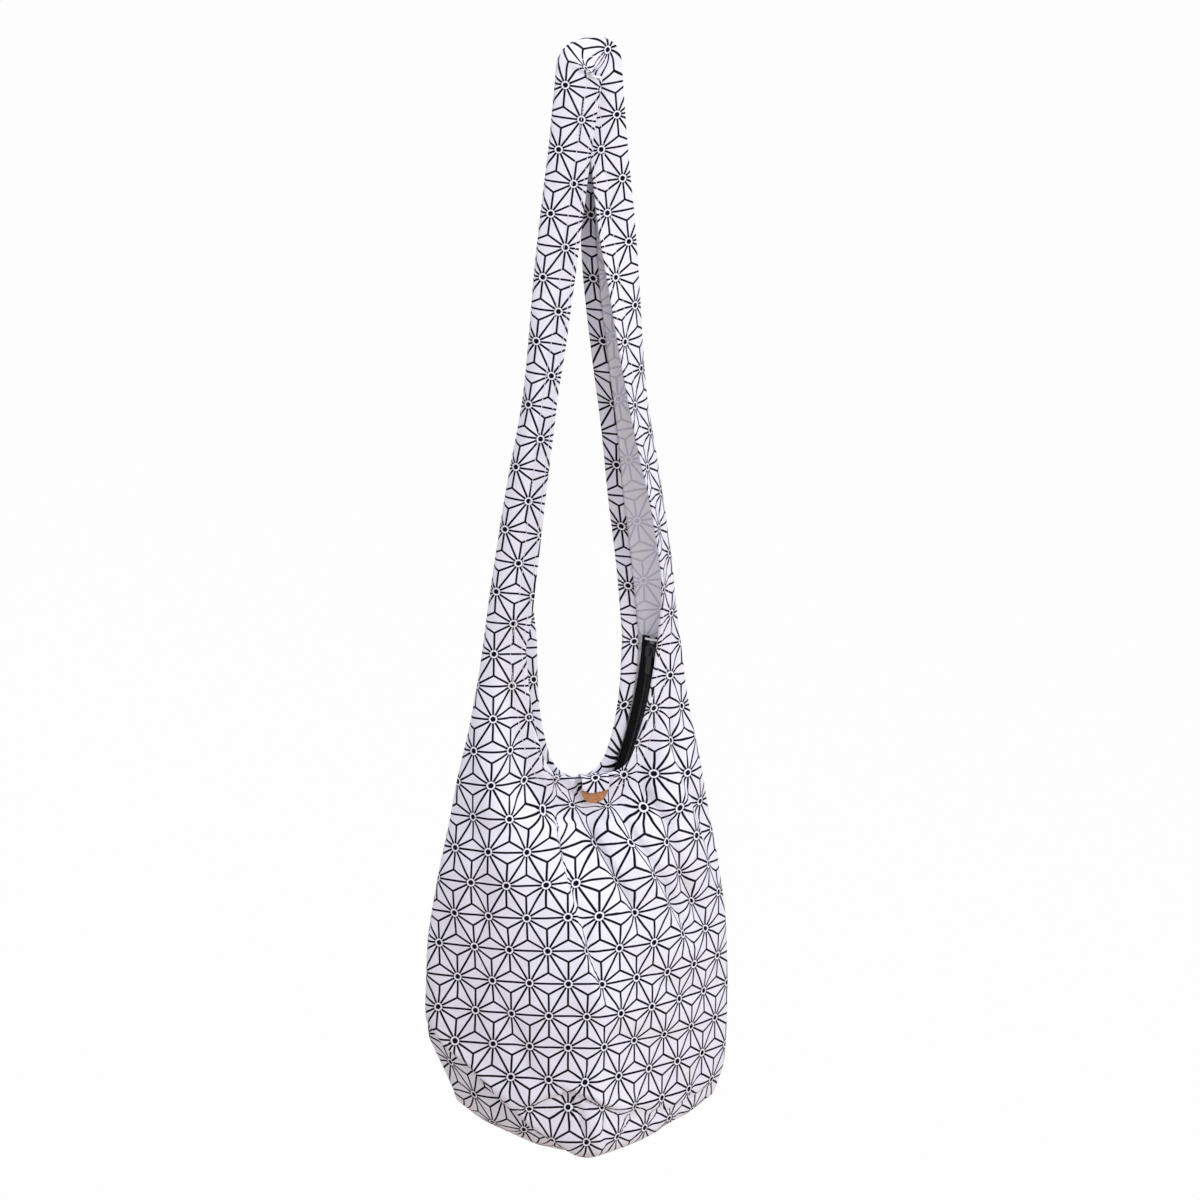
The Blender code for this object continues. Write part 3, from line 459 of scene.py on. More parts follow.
class Print:
    """Where the flat cloth lies: its places across and up, at each height of one side's outer edge."""

    def __init__(self, side, face):
        self.side = side
        self.at_foot = row_arc(mouth_row(0, side, face)[: COLUMNS + 1])[-1]
        self.heights = np.arange(MOUTH_TOP, STRAP_TOP + PRINT_STEP, PRINT_STEP)
        width = np.array([WIDTH[side](z) for z in self.heights])
        turned = np.array([smooth((z - MOUTH_TOP) / LEAN_FADE) for z in self.heights])
        slope = np.gradient(width, self.heights)
        start = self.at_foot + WIDTH[side](MOUTH_TOP) - WIDTH[side](MOUTH_FOOT)
        self.across = start + np.concatenate([[0], np.cumsum((slope * (1 - turned))[:-1] * PRINT_STEP)])
        self.up = MOUTH_TOP + np.concatenate([[0], np.cumsum(np.sqrt(1 + slope**2)[:-1] * PRINT_STEP)])
        half_way = self.up[-1] + LOOP_HALF
        self.top = STAR_V + (round((half_way - STAR_V) / ROW - 0.5) + 0.5) * ROW
        share = (self.up - self.up[0]) / (half_way - self.up[0])
        self.up = self.up + (self.top - half_way) * share

    def edge(self, z):
        """The flat place of the side's outer edge at a height."""
        if z <= MOUTH_TOP:
            return self.at_foot + WIDTH[self.side](z) - WIDTH[self.side](MOUTH_FOOT), z
        return np.interp(z, self.heights, self.across), np.interp(z, self.heights, self.up)

    def mouth(self, row, apex_z):
        """Flat places of a mouth row that starts at a height on the side seam."""
        across, _ = self.edge(apex_z)
        arc = row_arc(row)
        places = [(self.side * (across - a), p[2]) for a, p in zip(arc[: COLUMNS + 1], row)]
        return places + self.lips(row, places[-1], apex_z)

    def strap(self, row, z):
        """Flat places of a level row of the strap: the print leans as the strap turns in."""
        across, up = self.edge(z)
        lean = STRAP_LEAN * smooth((z - MOUTH_TOP) / LEAN_FADE)
        arc = row_arc(row)
        places = [(self.side * (across - a), up + lean * a) for a in arc[: COLUMNS + 1]]
        return places + self.lips(row, places[-1], z)

    def turn(self, row, share, drift):
        """Flat places of a row over the loop, share 0 at the strap to 1 at the top."""
        across, up = self.edge(STRAP_TOP)
        places = []
        for a in run_of(row):
            lean = STRAP_LEAN * a * (1 - share)
            places.append((self.side * (across - a) + drift, up + lean + (self.top - up) * share))
        return places

    def lips(self, row, seam, z):
        """The lip's places: level along the mouth's foot, along the row on the straps."""
        on_strap = smooth((z - LIP_TURN_Z) / LIP_TURN_FADE)
        places = []
        base = row[COLUMNS]
        for point in row[COLUMNS + 1:]:
            dx, dy = point[0] - base[0], point[1] - base[1]
            across = dx * (1 - on_strap) - self.side * math.hypot(dx, dy) * on_strap
            lean = STRAP_LEAN * abs(across) if z > MOUTH_TOP else 0.0
            places.append((seam[0] + across, seam[1] + lean * on_strap + (point[2] - base[2])))
        return places


def body_places(row, side):
    """Places on the flat cloth for a row that ends at the middle of the panel."""
    arc = row_arc(row)
    return [(side * (arc[-1] - a), p[2]) for a, p in zip(arc, row)]


def hem(rows, places, face):
    """Carries each row round its free edge and back along the inside, as the folded hem does."""
    grid = np.array(rows)
    around = np.gradient(grid, axis=0)
    along = np.gradient(grid, axis=1)
    normal = np.cross(around, along)
    normal /= np.maximum(np.linalg.norm(normal, axis=2, keepdims=True), 1e-9)
    normal = normal * np.sign(normal[:, :, 1:2].sum()) * face
    level = np.array([0.0, face, 0.0])
    out_rows, out_places = [], []
    for row, uv, normals in zip(rows, places, normal):
        high = smooth((row[-1][2] - HEM_LEVEL_Z) / MOUTH_FADE)
        out = normals[-1] * (1 - high) + level * high
        out /= np.linalg.norm(out)
        run = row[-1] - row[-1 - LIP_COLUMNS]
        length = np.linalg.norm(run)
        run = run / length
        at_mouth = 1 - smooth((row[-1][2] - MOUTH_TOP) / MOUTH_FADE)
        radius = HEM_RADIUS + HEM_RADIUS_MORE * at_mouth
        back = min(HEM_REACH, (1 - HEM_FREE[face] * at_mouth) * length)
        flat = np.array(uv[-1]) - np.array(uv[-1 - LIP_COLUMNS])
        flat = flat / max(np.linalg.norm(flat), 1e-6)
        centre = row[-1] - out * radius
        new, new_uv = list(row), list(uv)
        for k in range(1, HEM_TURN + 1):
            turn = math.pi * k / HEM_TURN
            new.append(centre + out * radius * math.cos(turn) + run * radius * math.sin(turn))
            new_uv.append(tuple(np.array(uv[-1]) + flat * radius * turn))
        for k in range(1, HEM_BACK + 1):
            gone = back * k / HEM_BACK
            inward = normals[-1 - min(LIP_COLUMNS, int(round(gone / length * LIP_COLUMNS)))]
            inward = inward * (1 - high) + level * high
            new.append(row[-1] - run * gone - inward * 2 * radius)
            new_uv.append(tuple(np.array(uv[-1]) + flat * (radius * math.pi + gone)))
        out_rows.append(new)
        out_places.append(new_uv)
    return out_rows, out_places


def panel_grids(face):
    """The two halves of a panel's mouth and strap, and the two halves of its wall, with their flat places."""
    prints = {side: Print(side, face) for side in (1, -1)}
    mouth_count = round(HALF_LENGTH / MOUTH_STEP)
    lengths = [HALF_LENGTH * k / mouth_count for k in range(mouth_count)]
    heights = np.linspace(MOUTH_TOP, STRAP_TOP, round((STRAP_TOP - MOUTH_TOP) / STRAP_STEP) + 1)
    wall_heights = np.linspace(WALL_FOOT, WALL_TOP, round((WALL_TOP - WALL_FOOT) / ROW_STEP) + 1)
    # The left leg's print slides, so that the two legs' stars meet at the top of the loop
    right_edge, left_edge = prints[1].edge(STRAP_TOP)[0], prints[-1].edge(STRAP_TOP)[0]
    drift = 2 * (STAR_U + STAR / 4) - (right_edge - left_edge)
    drift -= STAR * round(drift / STAR)
    grids = []
    for side in (1, -1):
        layout = prints[side]
        slide = drift if side < 0 else 0.0
        rows, places = [], []
        for length in lengths:
            row = mouth_row(length, side, face)
            rows.append(row)
            places.append(layout.mouth(row, seam_height(length)))
        for z in heights:
            row = strap_row(z, side, face)
            rows.append(row)
            moved = slide * smooth((z - MOUTH_TOP) / (STRAP_TOP - MOUTH_TOP))
            places.append([(u + moved, v) for u, v in layout.strap(row, z)])
        for k in range(1, TURN_STEPS // 2 + 1):
            turn = 180.0 * k / TURN_STEPS
            row = turn_row(turn if side > 0 else 180 - turn, face)
            rows.append(row)
            places.append(layout.turn(row, 2 * k / TURN_STEPS, slide))
        grids.append(hem(rows, places, face))
        wall = [body_row(z, side, face) for z in wall_heights]
        wall.append(mouth_row(0, side, face)[: COLUMNS + 1])
        wall_places = [body_places(row, side) for row in wall]
        under = foot_rows(wall[0], side, face)
        gone = np.zeros(COLUMNS + 1)
        below = []
        for row, last in zip(under, [wall[0]] + under):
            gone = gone + [np.linalg.norm(a - b) for a, b in zip(row, last)]
            below.append([(u, v - g) for (u, v), g in zip(wall_places[0], gone)])
        grids.append((under[::-1] + wall, below[::-1] + wall_places))
    return grids


def to_frame(point):
    """A place in millimetres, in the frame's metres."""
    return Vector((point[0] * MM, point[1] * MM, (point[2] - ORIGIN_Z) * MM))


def edge_places(rows):
    """How far each point lies along the free edge and from it, in mm, or far from any edge on the wall."""
    edge = COLUMNS + LIP_COLUMNS
    if len(rows[0]) <= edge:
        return [[(0.0, FAR_FROM_EDGE)] * len(row) for row in rows]
    along = 0.0
    places = []
    for k, row in enumerate(rows):
        along += np.linalg.norm(row[edge] - rows[k - 1][edge]) if k else 0.0
        run = run_of(row)
        places.append([(along, run[edge] - a) for a in run])
    return places


def add_grid(bm, rows, maps, closed=False):
    """Faces through rows of points, in millimetres, with places on UV maps: gives each column and face."""
    verts = [[bm.verts.new(to_frame(p)) for p in row] for row in rows]
    count = len(rows[0])
    for i in range(len(rows) - 1):
        for k in range(count if closed else count - 1):
            corners = ((i, k), (i, (k + 1) % count), (i + 1, (k + 1) % count), (i + 1, k))
            made = bm.faces.new([verts[a][b] for a, b in corners])
            made.smooth = True
            for layer, places in maps:
                for loop, (a, b) in zip(made.loops, corners):
                    loop[layer].uv = (places[a][b][0] * MM, places[a][b][1] * MM)
            yield k, made
    if closed:
        bm.faces.new(verts[0][::-1])
        bm.faces.new(verts[-1])


def finished(name, bm):
    """The mesh as a piece of its own, at the origin."""
    mesh = bpy.data.meshes.new(name)
    bm.to_mesh(mesh)
    bm.free()
    item = bpy.data.objects.new(name, mesh)
    bpy.context.collection.objects.link(item)
    return item


def cloth_mesh(name, grids, face):
    """One sheet from its grids, joined where they meet, with the flat cloth as its UV map."""
    bm = bmesh.new()
    flat, edging = (bm.loops.layers.uv.new(layer) for layer in ("flat", "edging"))
    hemmed = bm.faces.layers.int.new("hem")
    for rows, places in grids:
        for k, made in add_grid(bm, rows, ((flat, places), (edging, edge_places(rows)))):
            made[hemmed] = int(k >= COLUMNS + LIP_COLUMNS)
    bmesh.ops.remove_doubles(bm, verts=bm.verts, dist=WELD)
    bmesh.ops.recalc_face_normals(bm, faces=bm.faces)
    facing = sum(f.normal.y * f.calc_area() for f in bm.faces if not f[hemmed])
    if facing * face < 0:
        bmesh.ops.reverse_faces(bm, faces=bm.faces)
    return finished(name, bm)


def lofted(name, rows, places=None, closed=False):
    """A mesh through rows of points, in millimetres, with a UV map of flat places where they're given."""
    bm = bmesh.new()
    flat = bm.loops.layers.uv.new("flat")
    for _ in add_grid(bm, rows, ((flat, places),) if places else (), closed):
        pass
    bmesh.ops.recalc_face_normals(bm, faces=bm.faces)
    return finished(name, bm)


# Folds, mm: a path of (x, height) points, how much higher the cloth lies on the path's left (or right,
# below 0), how deep the fold dips, how wide it is, and how much cloth it swallows
FRONT_FOLDS = (
    (((-44, 36), (-29, 6), (-25, -23), (-27, -42), (-22, -79), (-12, -123), (-5, -160), (8, -196)),
     -3.2, 2.6, 3.2, 8.0),
    (((-24, 10), (-8, -19), (4, -46), (15, -71), (34, -108), (42, -136)), 1.4, 4.4, 4.6, 8.0),
    (((14, 4), (24, -20), (38, -48), (54, -72), (76, -110), (100, -160)), -1.5, 4.6, 5.0, 8.0),
    (((44, 40), (50, 6), (54, -13), (73, -39), (89, -93), (116, -150)), 1.5, 4.4, 4.8, 7.5),
    (((70, 84), (78, 50), (80, 28), (93, -8), (112, -50), (128, -110)), -1.3, 3.8, 4.6, 6.0),
    (((82, 160), (86, 105), (94, 57), (100, 10)), 0.8, 2.6, 4.4, 4.0),
    (((-50, 10), (-34, 0), (-22, -11), (-2, -25), (22, -28), (40, -20)), 1.9, 2.6, 2.6, 4.5),
    (((-36, 12), (-22, -6), (-8, -16), (6, -19), (24, -18)), -1.2, 2.0, 2.2, 3.0),
    (((16, -30), (30, -20), (42, -8), (54, 18)), 0.9, 2.2, 3.0, 3.0),
    (((-18, 16), (-16, 0), (-10, -16)), 0.9, 1.8, 2.0, 2.5),
    (((-8, 14), (-6, 0), (-6, -14)), -0.8, 1.6, 2.0, 2.0),
    (((26, 20), (24, 0), (26, -20)), 0.8, 1.6, 2.4, 2.5),
    (((-106, 50), (-103, -30), (-99, -110), (-97, -190)), 0.5, 2.0, 9.0, 2.0),
    (((-60, 84), (-66, 10), (-62, -60), (-52, -124)), -0.5, 1.8, 8.0, 1.5),
    (((-86, -180), (-66, -237), (-42, -284)), 0.5, 1.4, 8.0, 1.5),
    (((20, -140), (62, -180), (96, -198), (136, -200)), 0.6, 1.5, 9.0, 1.0),
    (((-34, -190), (14, -222), (60, -236), (116, -240)), 0.6, 1.3, 10.0, 1.0),
)
BACK_FOLDS = (
    (((20, -14), (30, -60), (26, -120), (10, -170)), 1.8, 3.0, 5.0, 4.0),
    (((-18, -14), (-40, -70), (-70, -130)), -1.5, 3.0, 5.0, 4.0),
    (((60, 30), (76, -40), (100, -110)), 1.0, 3.0, 5.0, 4.0),
    (((-70, 30), (-84, -40), (-96, -100)), -1.0, 2.6, 5.0, 3.0),
)
BASE_FOLDS = (
    (((-150, -200), (-139, -222), (-128, -241), (-108, -258), (-84, -285), (-52, -316), (-24, -334),
      (0, -352)), 5.0, 2.0, 2.6, 6.0),
    (((-72, -300), (-58, -290), (-39, -281), (-21, -275), (-7, -282), (24, -298), (80, -308), (130, -296)),
     3.2, 2.2, 2.8, 5.0),
    (((-33, -268), (-16, -291), (-10, -322)), 1.2, 2.4, 3.0, 3.0),
    (((44, -285), (34, -308), (20, -330)), -1.0, 2.4, 3.0, 3.0),
    (((111, -283), (102, -307), (88, -322)), 1.0, 2.2, 3.0, 2.5),
    (((76, -292), (66, -312), (52, -330)), 1.0, 2.0, 3.0, 2.5),
    (((10, -292), (6, -312), (12, -334)), -0.8, 1.8, 3.0, 2.0),
)


def press_folds(x, z, folds):
    """How far folds lift cloth at each place, and how far across and up they shift its print, in mm."""
    lift, shift_x, shift_z = np.zeros(len(x)), np.zeros(len(x)), np.zeros(len(x))
    for path, step, dip, width, hidden in folds:
        near = np.full(len(x), 1e9)
        signed, along = np.zeros(len(x)), np.zeros(len(x))
        across_x, across_z = np.zeros(len(x)), np.zeros(len(x))
        length = sum(math.dist(a, b) for a, b in zip(path, path[1:]))
        done = 0.0
        for (x1, z1), (x2, z2) in zip(path, path[1:]):
            rx, rz = x2 - x1, z2 - z1
            size = math.hypot(rx, rz)
            t = np.clip(((x - x1) * rx + (z - z1) * rz) / size**2, 0, 1)
            away = np.hypot(x - x1 - rx * t, z - z1 - rz * t)
            cross = (rx * (z - z1) - rz * (x - x1)) / size
            closer = away < near
            near = np.where(closer, away, near)
            signed = np.where(closer, np.copysign(away, cross), signed)
            along = np.where(closer, (done + t * size) / length, along)
            across_x = np.where(closer, -rz / size, across_x)
            across_z = np.where(closer, rx / size, across_z)
            done += size
        fade = np.clip(FOLD_FADE * along * (1 - along), 0, 1) ** FOLD_FADE_POWER
        turn = np.tanh(signed / (FOLD_TURN * width))
        lift += fade * (step * turn * np.exp(-near / (FOLD_STEP_REACH * width))
                        - dip * np.exp(-((near / width) ** 2)))
        pull = fade * hidden * 0.5 * turn * np.exp(-((near / FOLD_PULL_REACH) ** 2))
        shift_x += pull * across_x
        shift_z += pull * across_z
    return lift, shift_x, shift_z


class Value:
    """A socket that shader maths can be written with."""

    def __init__(self, finish, socket):
        self.finish, self.socket = finish, socket

    def maths(self, operation, *others):
        inputs = {0: self}
        inputs.update({k + 1: other for k, other in enumerate(others)})
        return self.finish.node("ShaderNodeMath", {"operation": operation}, inputs)

    def __add__(self, other):
        return self.maths("ADD", other)

    __radd__ = __add__

    def __sub__(self, other):
        return self.maths("SUBTRACT", other)

    def __rsub__(self, other):
        return self.maths("MULTIPLY", -1.0).maths("ADD", other)

    def __mul__(self, other):
        return self.maths("MULTIPLY", other)

    __rmul__ = __mul__

    def clamp(self):
        return self.maths("MAXIMUM", 0.0).maths("MINIMUM", 1.0)

    def from_round(self):
        """Signed distance to the nearest whole number."""
        return self - self.maths("ROUND")

    def below(self, limit, soft):
        """1 under the limit, 0 over it, with a soft edge."""
        return ((limit - self) * (1.0 / soft) + 0.5).clamp()


class Nodes:
    """A node tree whose nodes are added by type."""

    def __init__(self, tree):
        self.tree = tree

    def node(self, kind, settings=None, inputs=None, output=0):
        made = self.tree.nodes.new(kind)
        for name, value in (settings or {}).items():
            if name == "stops":
                ramp = made.color_ramp
                while len(ramp.elements) < len(value):
                    ramp.elements.new(0.5)
                for element, (place, colour) in zip(ramp.elements, value):
                    element.position, element.color = place, colour
            else:
                setattr(made, name, value)
        for name, value in (inputs or {}).items():
            if isinstance(value, Value):
                self.tree.links.new(value.socket, made.inputs[name])
            else:
                made.inputs[name].default_value = value
        return Value(self, made.outputs[output])

    def mixed_shader(self, factor, first, second, end):
        """Mixes two shaders into the tree's output node."""
        made = self.node("ShaderNodeMixShader", {}, {0: factor, 1: first, 2: second})
        self.tree.links.new(made.socket, self.tree.nodes[end].inputs[0])


class Finish(Nodes):
    """A material with a Principled shader at its end."""

    def __init__(self, name, **fixed):
        self.material = bpy.data.materials.new(name)
        self.material.use_nodes = True
        super().__init__(self.material.node_tree)
        self.shader = self.tree.nodes["Principled BSDF"]
        for socket, value in fixed.items():
            self.shader.inputs[socket.replace("_", " ")].default_value = value

    def set(self, socket, value):
        self.tree.links.new(value.socket, self.shader.inputs[socket])

    def mix(self, factor, first, second):
        return self.node("ShaderNodeMix", {"data_type": "RGBA"}, {0: factor, 6: first, 7: second}, output=2)

    def noise(self, vector, scale, detail, roughness=0.5):
        inputs = {"Scale": scale, "Detail": detail, "Roughness": roughness, "Vector": vector}
        return self.node("ShaderNodeTexNoise", {}, inputs)

    def place(self):
        """Object coordinates, in metres."""
        return self.node("ShaderNodeTexCoord", output=3)

    def flat(self, name="flat"):
        """A UV map's places across and up, in metres, and both as a vector."""
        vector = self.node("ShaderNodeUVMap", {"uv_map": name})
        across, up = (self.node("ShaderNodeSeparateXYZ", {}, {0: vector}, output=k) for k in (0, 1))
        return across, up, vector

    def bump(self, height, strength, distance, below=None):
        inputs = {"Height": height, "Strength": strength, "Distance": distance}
        if below is not None:
            inputs["Normal"] = below
        return self.node("ShaderNodeBump", {}, inputs)


def shade(colour, share=1.0):
    """A colour made darker or lighter by a share, for a socket."""
    return (*[min(1, c * share) for c in colour], 1)


def star_print(u, v, line, dot, ring):
    """How much ink lies at each place of the flat cloth: lattice, rays and dots with a clear ring."""
    pitch, row = STAR * MM, ROW * MM
    u = u - STAR_U * MM
    v = v - STAR_V * MM
    soft = PRINT_SOFT * MM
    lines = None
    for turn in (0, 60, -60):
        c, s = math.cos(math.radians(turn)), math.sin(math.radians(turn))
        across = u * c + v * s
        up = v * c - u * s
        edge = (up * (1 / row)).from_round().maths("ABSOLUTE") * row
        share = across * (2 / pitch)
        nearest = share.maths("ROUND")
        ray = (share - nearest).maths("ABSOLUTE") * (pitch / 2)
        gone = (up * (0.5 / row) + nearest * 0.5).from_round().maths("ABSOLUTE") * (2 * row)
        rays = ray.below(line / 2, soft) * gone.below(pitch / math.sqrt(3) + line * RAY_PAST, soft)
        ink = edge.below(line / 2, soft).maths("MAXIMUM", rays)
        lines = ink if lines is None else lines.maths("MAXIMUM", ink)
    nearest = None
    for shift in (0.0, 0.5):
        du = (u * (1 / pitch) + shift).from_round() * pitch
        dv = (v * (0.5 / row) + shift).from_round() * (2 * row)
        far = (du * du + dv * dv).maths("SQRT")
        nearest = far if nearest is None else nearest.maths("MINIMUM", far)
    clear = nearest.below(ring, soft)
    return (lines * (1 - clear)).maths("MAXIMUM", nearest.below(dot, soft))


def weave_height(u, v, pitch):
    """Threads over and under each other, pitch metres apart."""
    turn = 2 * math.pi / pitch
    return (u * turn).maths("SINE") * (v * turn).maths("SINE") * 0.5 + 0.5


def stitches(finish, length):
    """The hem's two lines of stitching, one stitch to a length: how much of each place is thread."""
    along, away, _ = finish.flat("edging")
    dash = (along * (1 / length)).from_round().maths("ABSOLUTE").below(STITCH_SHARE, STITCH_SOFT)
    line = None
    for place in STITCH_LINES:
        near = (away - place * MM).maths("ABSOLUTE").below(STITCH_HALF * MM, STITCH_EDGE * MM)
        line = near if line is None else line.maths("MAXIMUM", near)
    return line * dash


def printed_cloth(name, sizes, ink, ground, strength=1.0):
    """Cotton with the star print, its weave, its hem's stitching with painted shade along it, and a light
    crumple.
    """
    finish = Finish(name, Roughness=0.9, Specular_IOR_Level=0.12)
    u, v, vector = finish.flat()
    wobble = (finish.noise(vector, scale=90.0, detail=2.0) - 0.5) * (PRINT_WOBBLE * MM)
    mask = star_print(u + wobble, v - wobble, sizes.line_width, sizes.dot_radius, sizes.ring_radius)
    slub = finish.noise(vector, scale=420.0, detail=3.0, roughness=0.65)
    mottle = finish.noise(finish.place(), scale=9.0, detail=3.0)
    tint = finish.mix(mottle.clamp(), shade(ground, 0.965), shade(ground, 1.015))
    inked = (mask * (slub * 0.16 + 0.93)).clamp() * strength
    sewn = stitches(finish, sizes.stitch_length)
    coloured = finish.mix(inked, tint, shade(ink))
    # The stitches are painted a tenth darker than the ground: painted shade where the thread sinks into the
    # cloth.
    finish.set("Base Color", finish.mix(sewn, coloured, shade(ground, 0.9)))
    finish.set("Roughness", 0.88 - inked * 0.08)
    weave = weave_height(u, v, sizes.thread_pitch) + slub * 0.6 + sewn * 1.2
    fine = finish.bump(weave, strength=0.25, distance=0.0003)
    crumple = finish.noise(vector, scale=70.0, detail=4.0, roughness=0.6)
    finish.set("Normal", finish.bump(crumple, strength=0.30, distance=0.0016, below=fine))
    return finish.material


def woven(name, colour, pitch, roughness=0.8):
    """A plain woven finish, its threads from the flat places."""
    finish = Finish(name, Roughness=roughness, Specular_IOR_Level=0.12)
    u, v, vector = finish.flat()
    worn = finish.noise(vector, scale=300.0, detail=3.0)
    finish.set("Base Color", finish.mix(worn, shade(colour, 0.85), shade(colour, 1.15)))
    finish.set("Normal", finish.bump(weave_height(u, v, pitch), strength=0.6, distance=0.0003))
    return finish.material


def shell_finish(colour):
    """Polished coconut shell: brown, with fine dark and pale streaks along one way."""
    finish = Finish("coconut shell", Roughness=0.3, Coat_Weight=0.35, Coat_Roughness=0.12)
    place = finish.place()
    stretched = finish.node("ShaderNodeMapping", {}, {"Vector": place, "Scale": (160.0, 160.0, 900.0),
                                                      "Rotation": (0.0, 0.35, 0.0)})
    streak = finish.noise(stretched, scale=1.0, detail=5.0, roughness=0.65)
    patch = finish.noise(place, scale=150.0, detail=3.0)
    stops = [(at, shade(colour, share)) for at, share in SHELL_STOPS]
    finish.set("Base Color", finish.node("ShaderNodeValToRGB", {"stops": stops},
                                         {0: streak * 0.75 + patch * 0.25}))
    finish.set("Roughness", streak * 0.3 + 0.22)
    finish.set("Normal", finish.bump(streak, strength=0.15, distance=0.0002))
    return finish.material


def plain(name, colour, roughness, **more):
    return Finish(name, Base_Color=shade(colour), Roughness=roughness, **more).material


def length_setting(name, description, default, least, most):
    return FloatProperty(name=name, description=description, default=default, min=least, max=most,
                         unit="LENGTH")


def colour_setting(name, description, default):
    return FloatVectorProperty(name=name, description=description, default=default, subtype="COLOR", size=3,
                               min=0, max=1)


class BagSizes(bpy.types.PropertyGroup):
    line_width: length_setting("Line width", "Width of the printed lines", 0.0019, 0.0005, 0.005)
    dot_radius: length_setting(
        "Dot radius", "Radius of the dot in the middle of each star", 0.0023, 0.0005, 0.006)
    ring_radius: length_setting(
        "Ring radius", "Outer radius of the clear ring round each dot", 0.0037, 0.001, 0.01)
    thread_pitch: length_setting(
        "Thread pitch", "Distance between two threads of the weave", 0.0007, 0.0002, 0.003)
    stitch_length: length_setting("Stitch length", "Length of one stitch with its gap", 0.0032, 0.001, 0.01)
    tooth_pitch: length_setting(
        "Tooth pitch", "Distance between two turns of the zip's coil", 0.00135, 0.0008, 0.004)


class BagColours(bpy.types.PropertyGroup):
    cloth: colour_setting("Cloth", "Ground colour of the printed cotton", (0.83, 0.82, 0.90))
    ink: colour_setting("Ink", "Colour of the printed lines and dots", (0.004, 0.003, 0.007))
    ghost: colour_setting("Ghost print", "Print as it shows through on the wrong side", (0.47, 0.45, 0.57))
    shell: colour_setting("Shell", "Colour of the turned shell button", (0.44, 0.18, 0.06))
    zip_black: colour_setting("Zip", "Colour of the zip's tape and coil", (0.006, 0.006, 0.007))


def settle(item):
    """The piece rides on the bag, and nothing is left selected."""
    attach(item, "bag")
    bpy.ops.object.select_all(action="DESELECT")


def pick(item):
    """Selects one piece alone."""
    bpy.ops.object.select_all(action="DESELECT")
    item.select_set(True)
    bpy.context.view_layer.objects.active = item


def fold_cloth(item, face):
    """Presses the folds and a light rumple into a panel, and draws its print together at the folds."""
    mesh = item.data
    count = len(mesh.vertices)
    co, normal = np.zeros(count * 3), np.zeros(count * 3)
    mesh.vertices.foreach_get("co", co)
    mesh.vertices.foreach_get("normal", normal)
    co, normal = co.reshape(-1, 3), normal.reshape(-1, 3)
    free = np.ones(count)
    hemmed = np.zeros(len(mesh.polygons), dtype=np.int32)
    mesh.attributes["hem"].data.foreach_get("value", hemmed)
    for polygon in mesh.polygons:
        if hemmed[polygon.index]:
            free[list(polygon.vertices)] = 0.0
    x, z = co[:, 0] / MM, co[:, 2] / MM + ORIGIN_Z
    lift, shift_x, shift_z = press_folds(x, z, (FRONT_FOLDS if face < 0 else BACK_FOLDS) + BASE_FOLDS)
    rumple, fine = (np.array([noise.noise(Vector((x * across + shift, y * across + turn * face, z * up)))
                              for x, y, z in co]) for across, up, shift, turn in (RUMPLE_GRAIN, FINE_GRAIN))
    seam = np.clip(abs(co[:, 1] / MM) / SEAM_FADE, SEAM_LEAST, 1)
    lengths = np.linspace(-1, 1, ZIP_STATIONS) * HALF_LENGTH
    line = [to_frame(zip_frame(abs(length), math.copysign(1, length))[0]) for length in lengths]
    clear = np.sqrt(np.min([np.sum((co - np.array(p)) ** 2, axis=1) for p in line], axis=0)) / MM
    calm = np.clip((clear - ZIP_CLEAR) / ZIP_FADE, 0.0, 1)
    rumple = (rumple * RUMPLE + fine * RUMPLE_FINE) * np.where(z > MOUTH_TOP, RUMPLE_ON_STRAP, 1.0)
    lift = (lift + rumple) * seam
    lift = np.where(lift < 0, lift * calm, lift * np.maximum(calm, CALM_LEAST))
    co += normal * (lift * free * MM)[:, None]
    co[:, 1] = np.where(free > 0, face * np.maximum(co[:, 1] * face, HALF_GAP * MM), co[:, 1])
    mesh.vertices.foreach_set("co", co.ravel())
    uv = np.zeros(len(mesh.loops) * 2)
    corner = np.zeros(len(mesh.loops), dtype=np.int32)
    mesh.loops.foreach_get("vertex_index", corner)
    mesh.uv_layers["flat"].data.foreach_get("uv", uv)
    uv = uv.reshape(-1, 2)
    uv[:, 0] += (shift_x * free * MM)[corner]
    uv[:, 1] += (shift_z * free * MM)[corner]
    mesh.uv_layers["flat"].data.foreach_set("uv", uv.ravel())
    mesh.update()


def round_off(item, levels=1):
    """Smooths a sheet with subdivisions."""
    pick(item)
    rounder = item.modifiers.new("round", "SUBSURF")
    rounder.levels = rounder.render_levels = levels
    rounder.boundary_smooth = "PRESERVE_CORNERS"
    bpy.ops.object.modifier_apply(modifier=rounder.name)


def thicken(item, outside, inside, thickness=SHEET):
    """Gives a sheet its thickness, its wrong side in a finish of its own."""
    pick(item)
    item.data.materials.append(outside)
    item.data.materials.append(inside)
    thick = item.modifiers.new("thick", "SOLIDIFY")
    thick.thickness = thickness * MM
    thick.offset = -1.0
    thick.material_offset = 1
    bpy.ops.object.modifier_apply(modifier=thick.name)
    bpy.ops.object.shade_smooth()


# The camera: azimuth, elevation and roll in degrees, the height that it's aimed from, and the shift
# from there across and up in the photograph's pixels, PIXEL mm each
CAMERA_TURNS = (-16, 15, 0.8)
CAMERA_ANCHOR_Z = -116.5
CAMERA_SHIFT = (22, 300)
CAMERA_FAR = 7.0
SENSOR = 36.0
PIXEL = 0.9
PHOTO_PIXELS = 1200
FLOOR_SIZE = 60
FLOOR_Z = -1.25
FLOOR_COLOUR = (0.56, 0.45, 0.37)
FLOOR_GLOW = 0.975
ROOM_COLOUR = (0.82, 0.86, 1.0)
ROOM_STRENGTH = 0.68
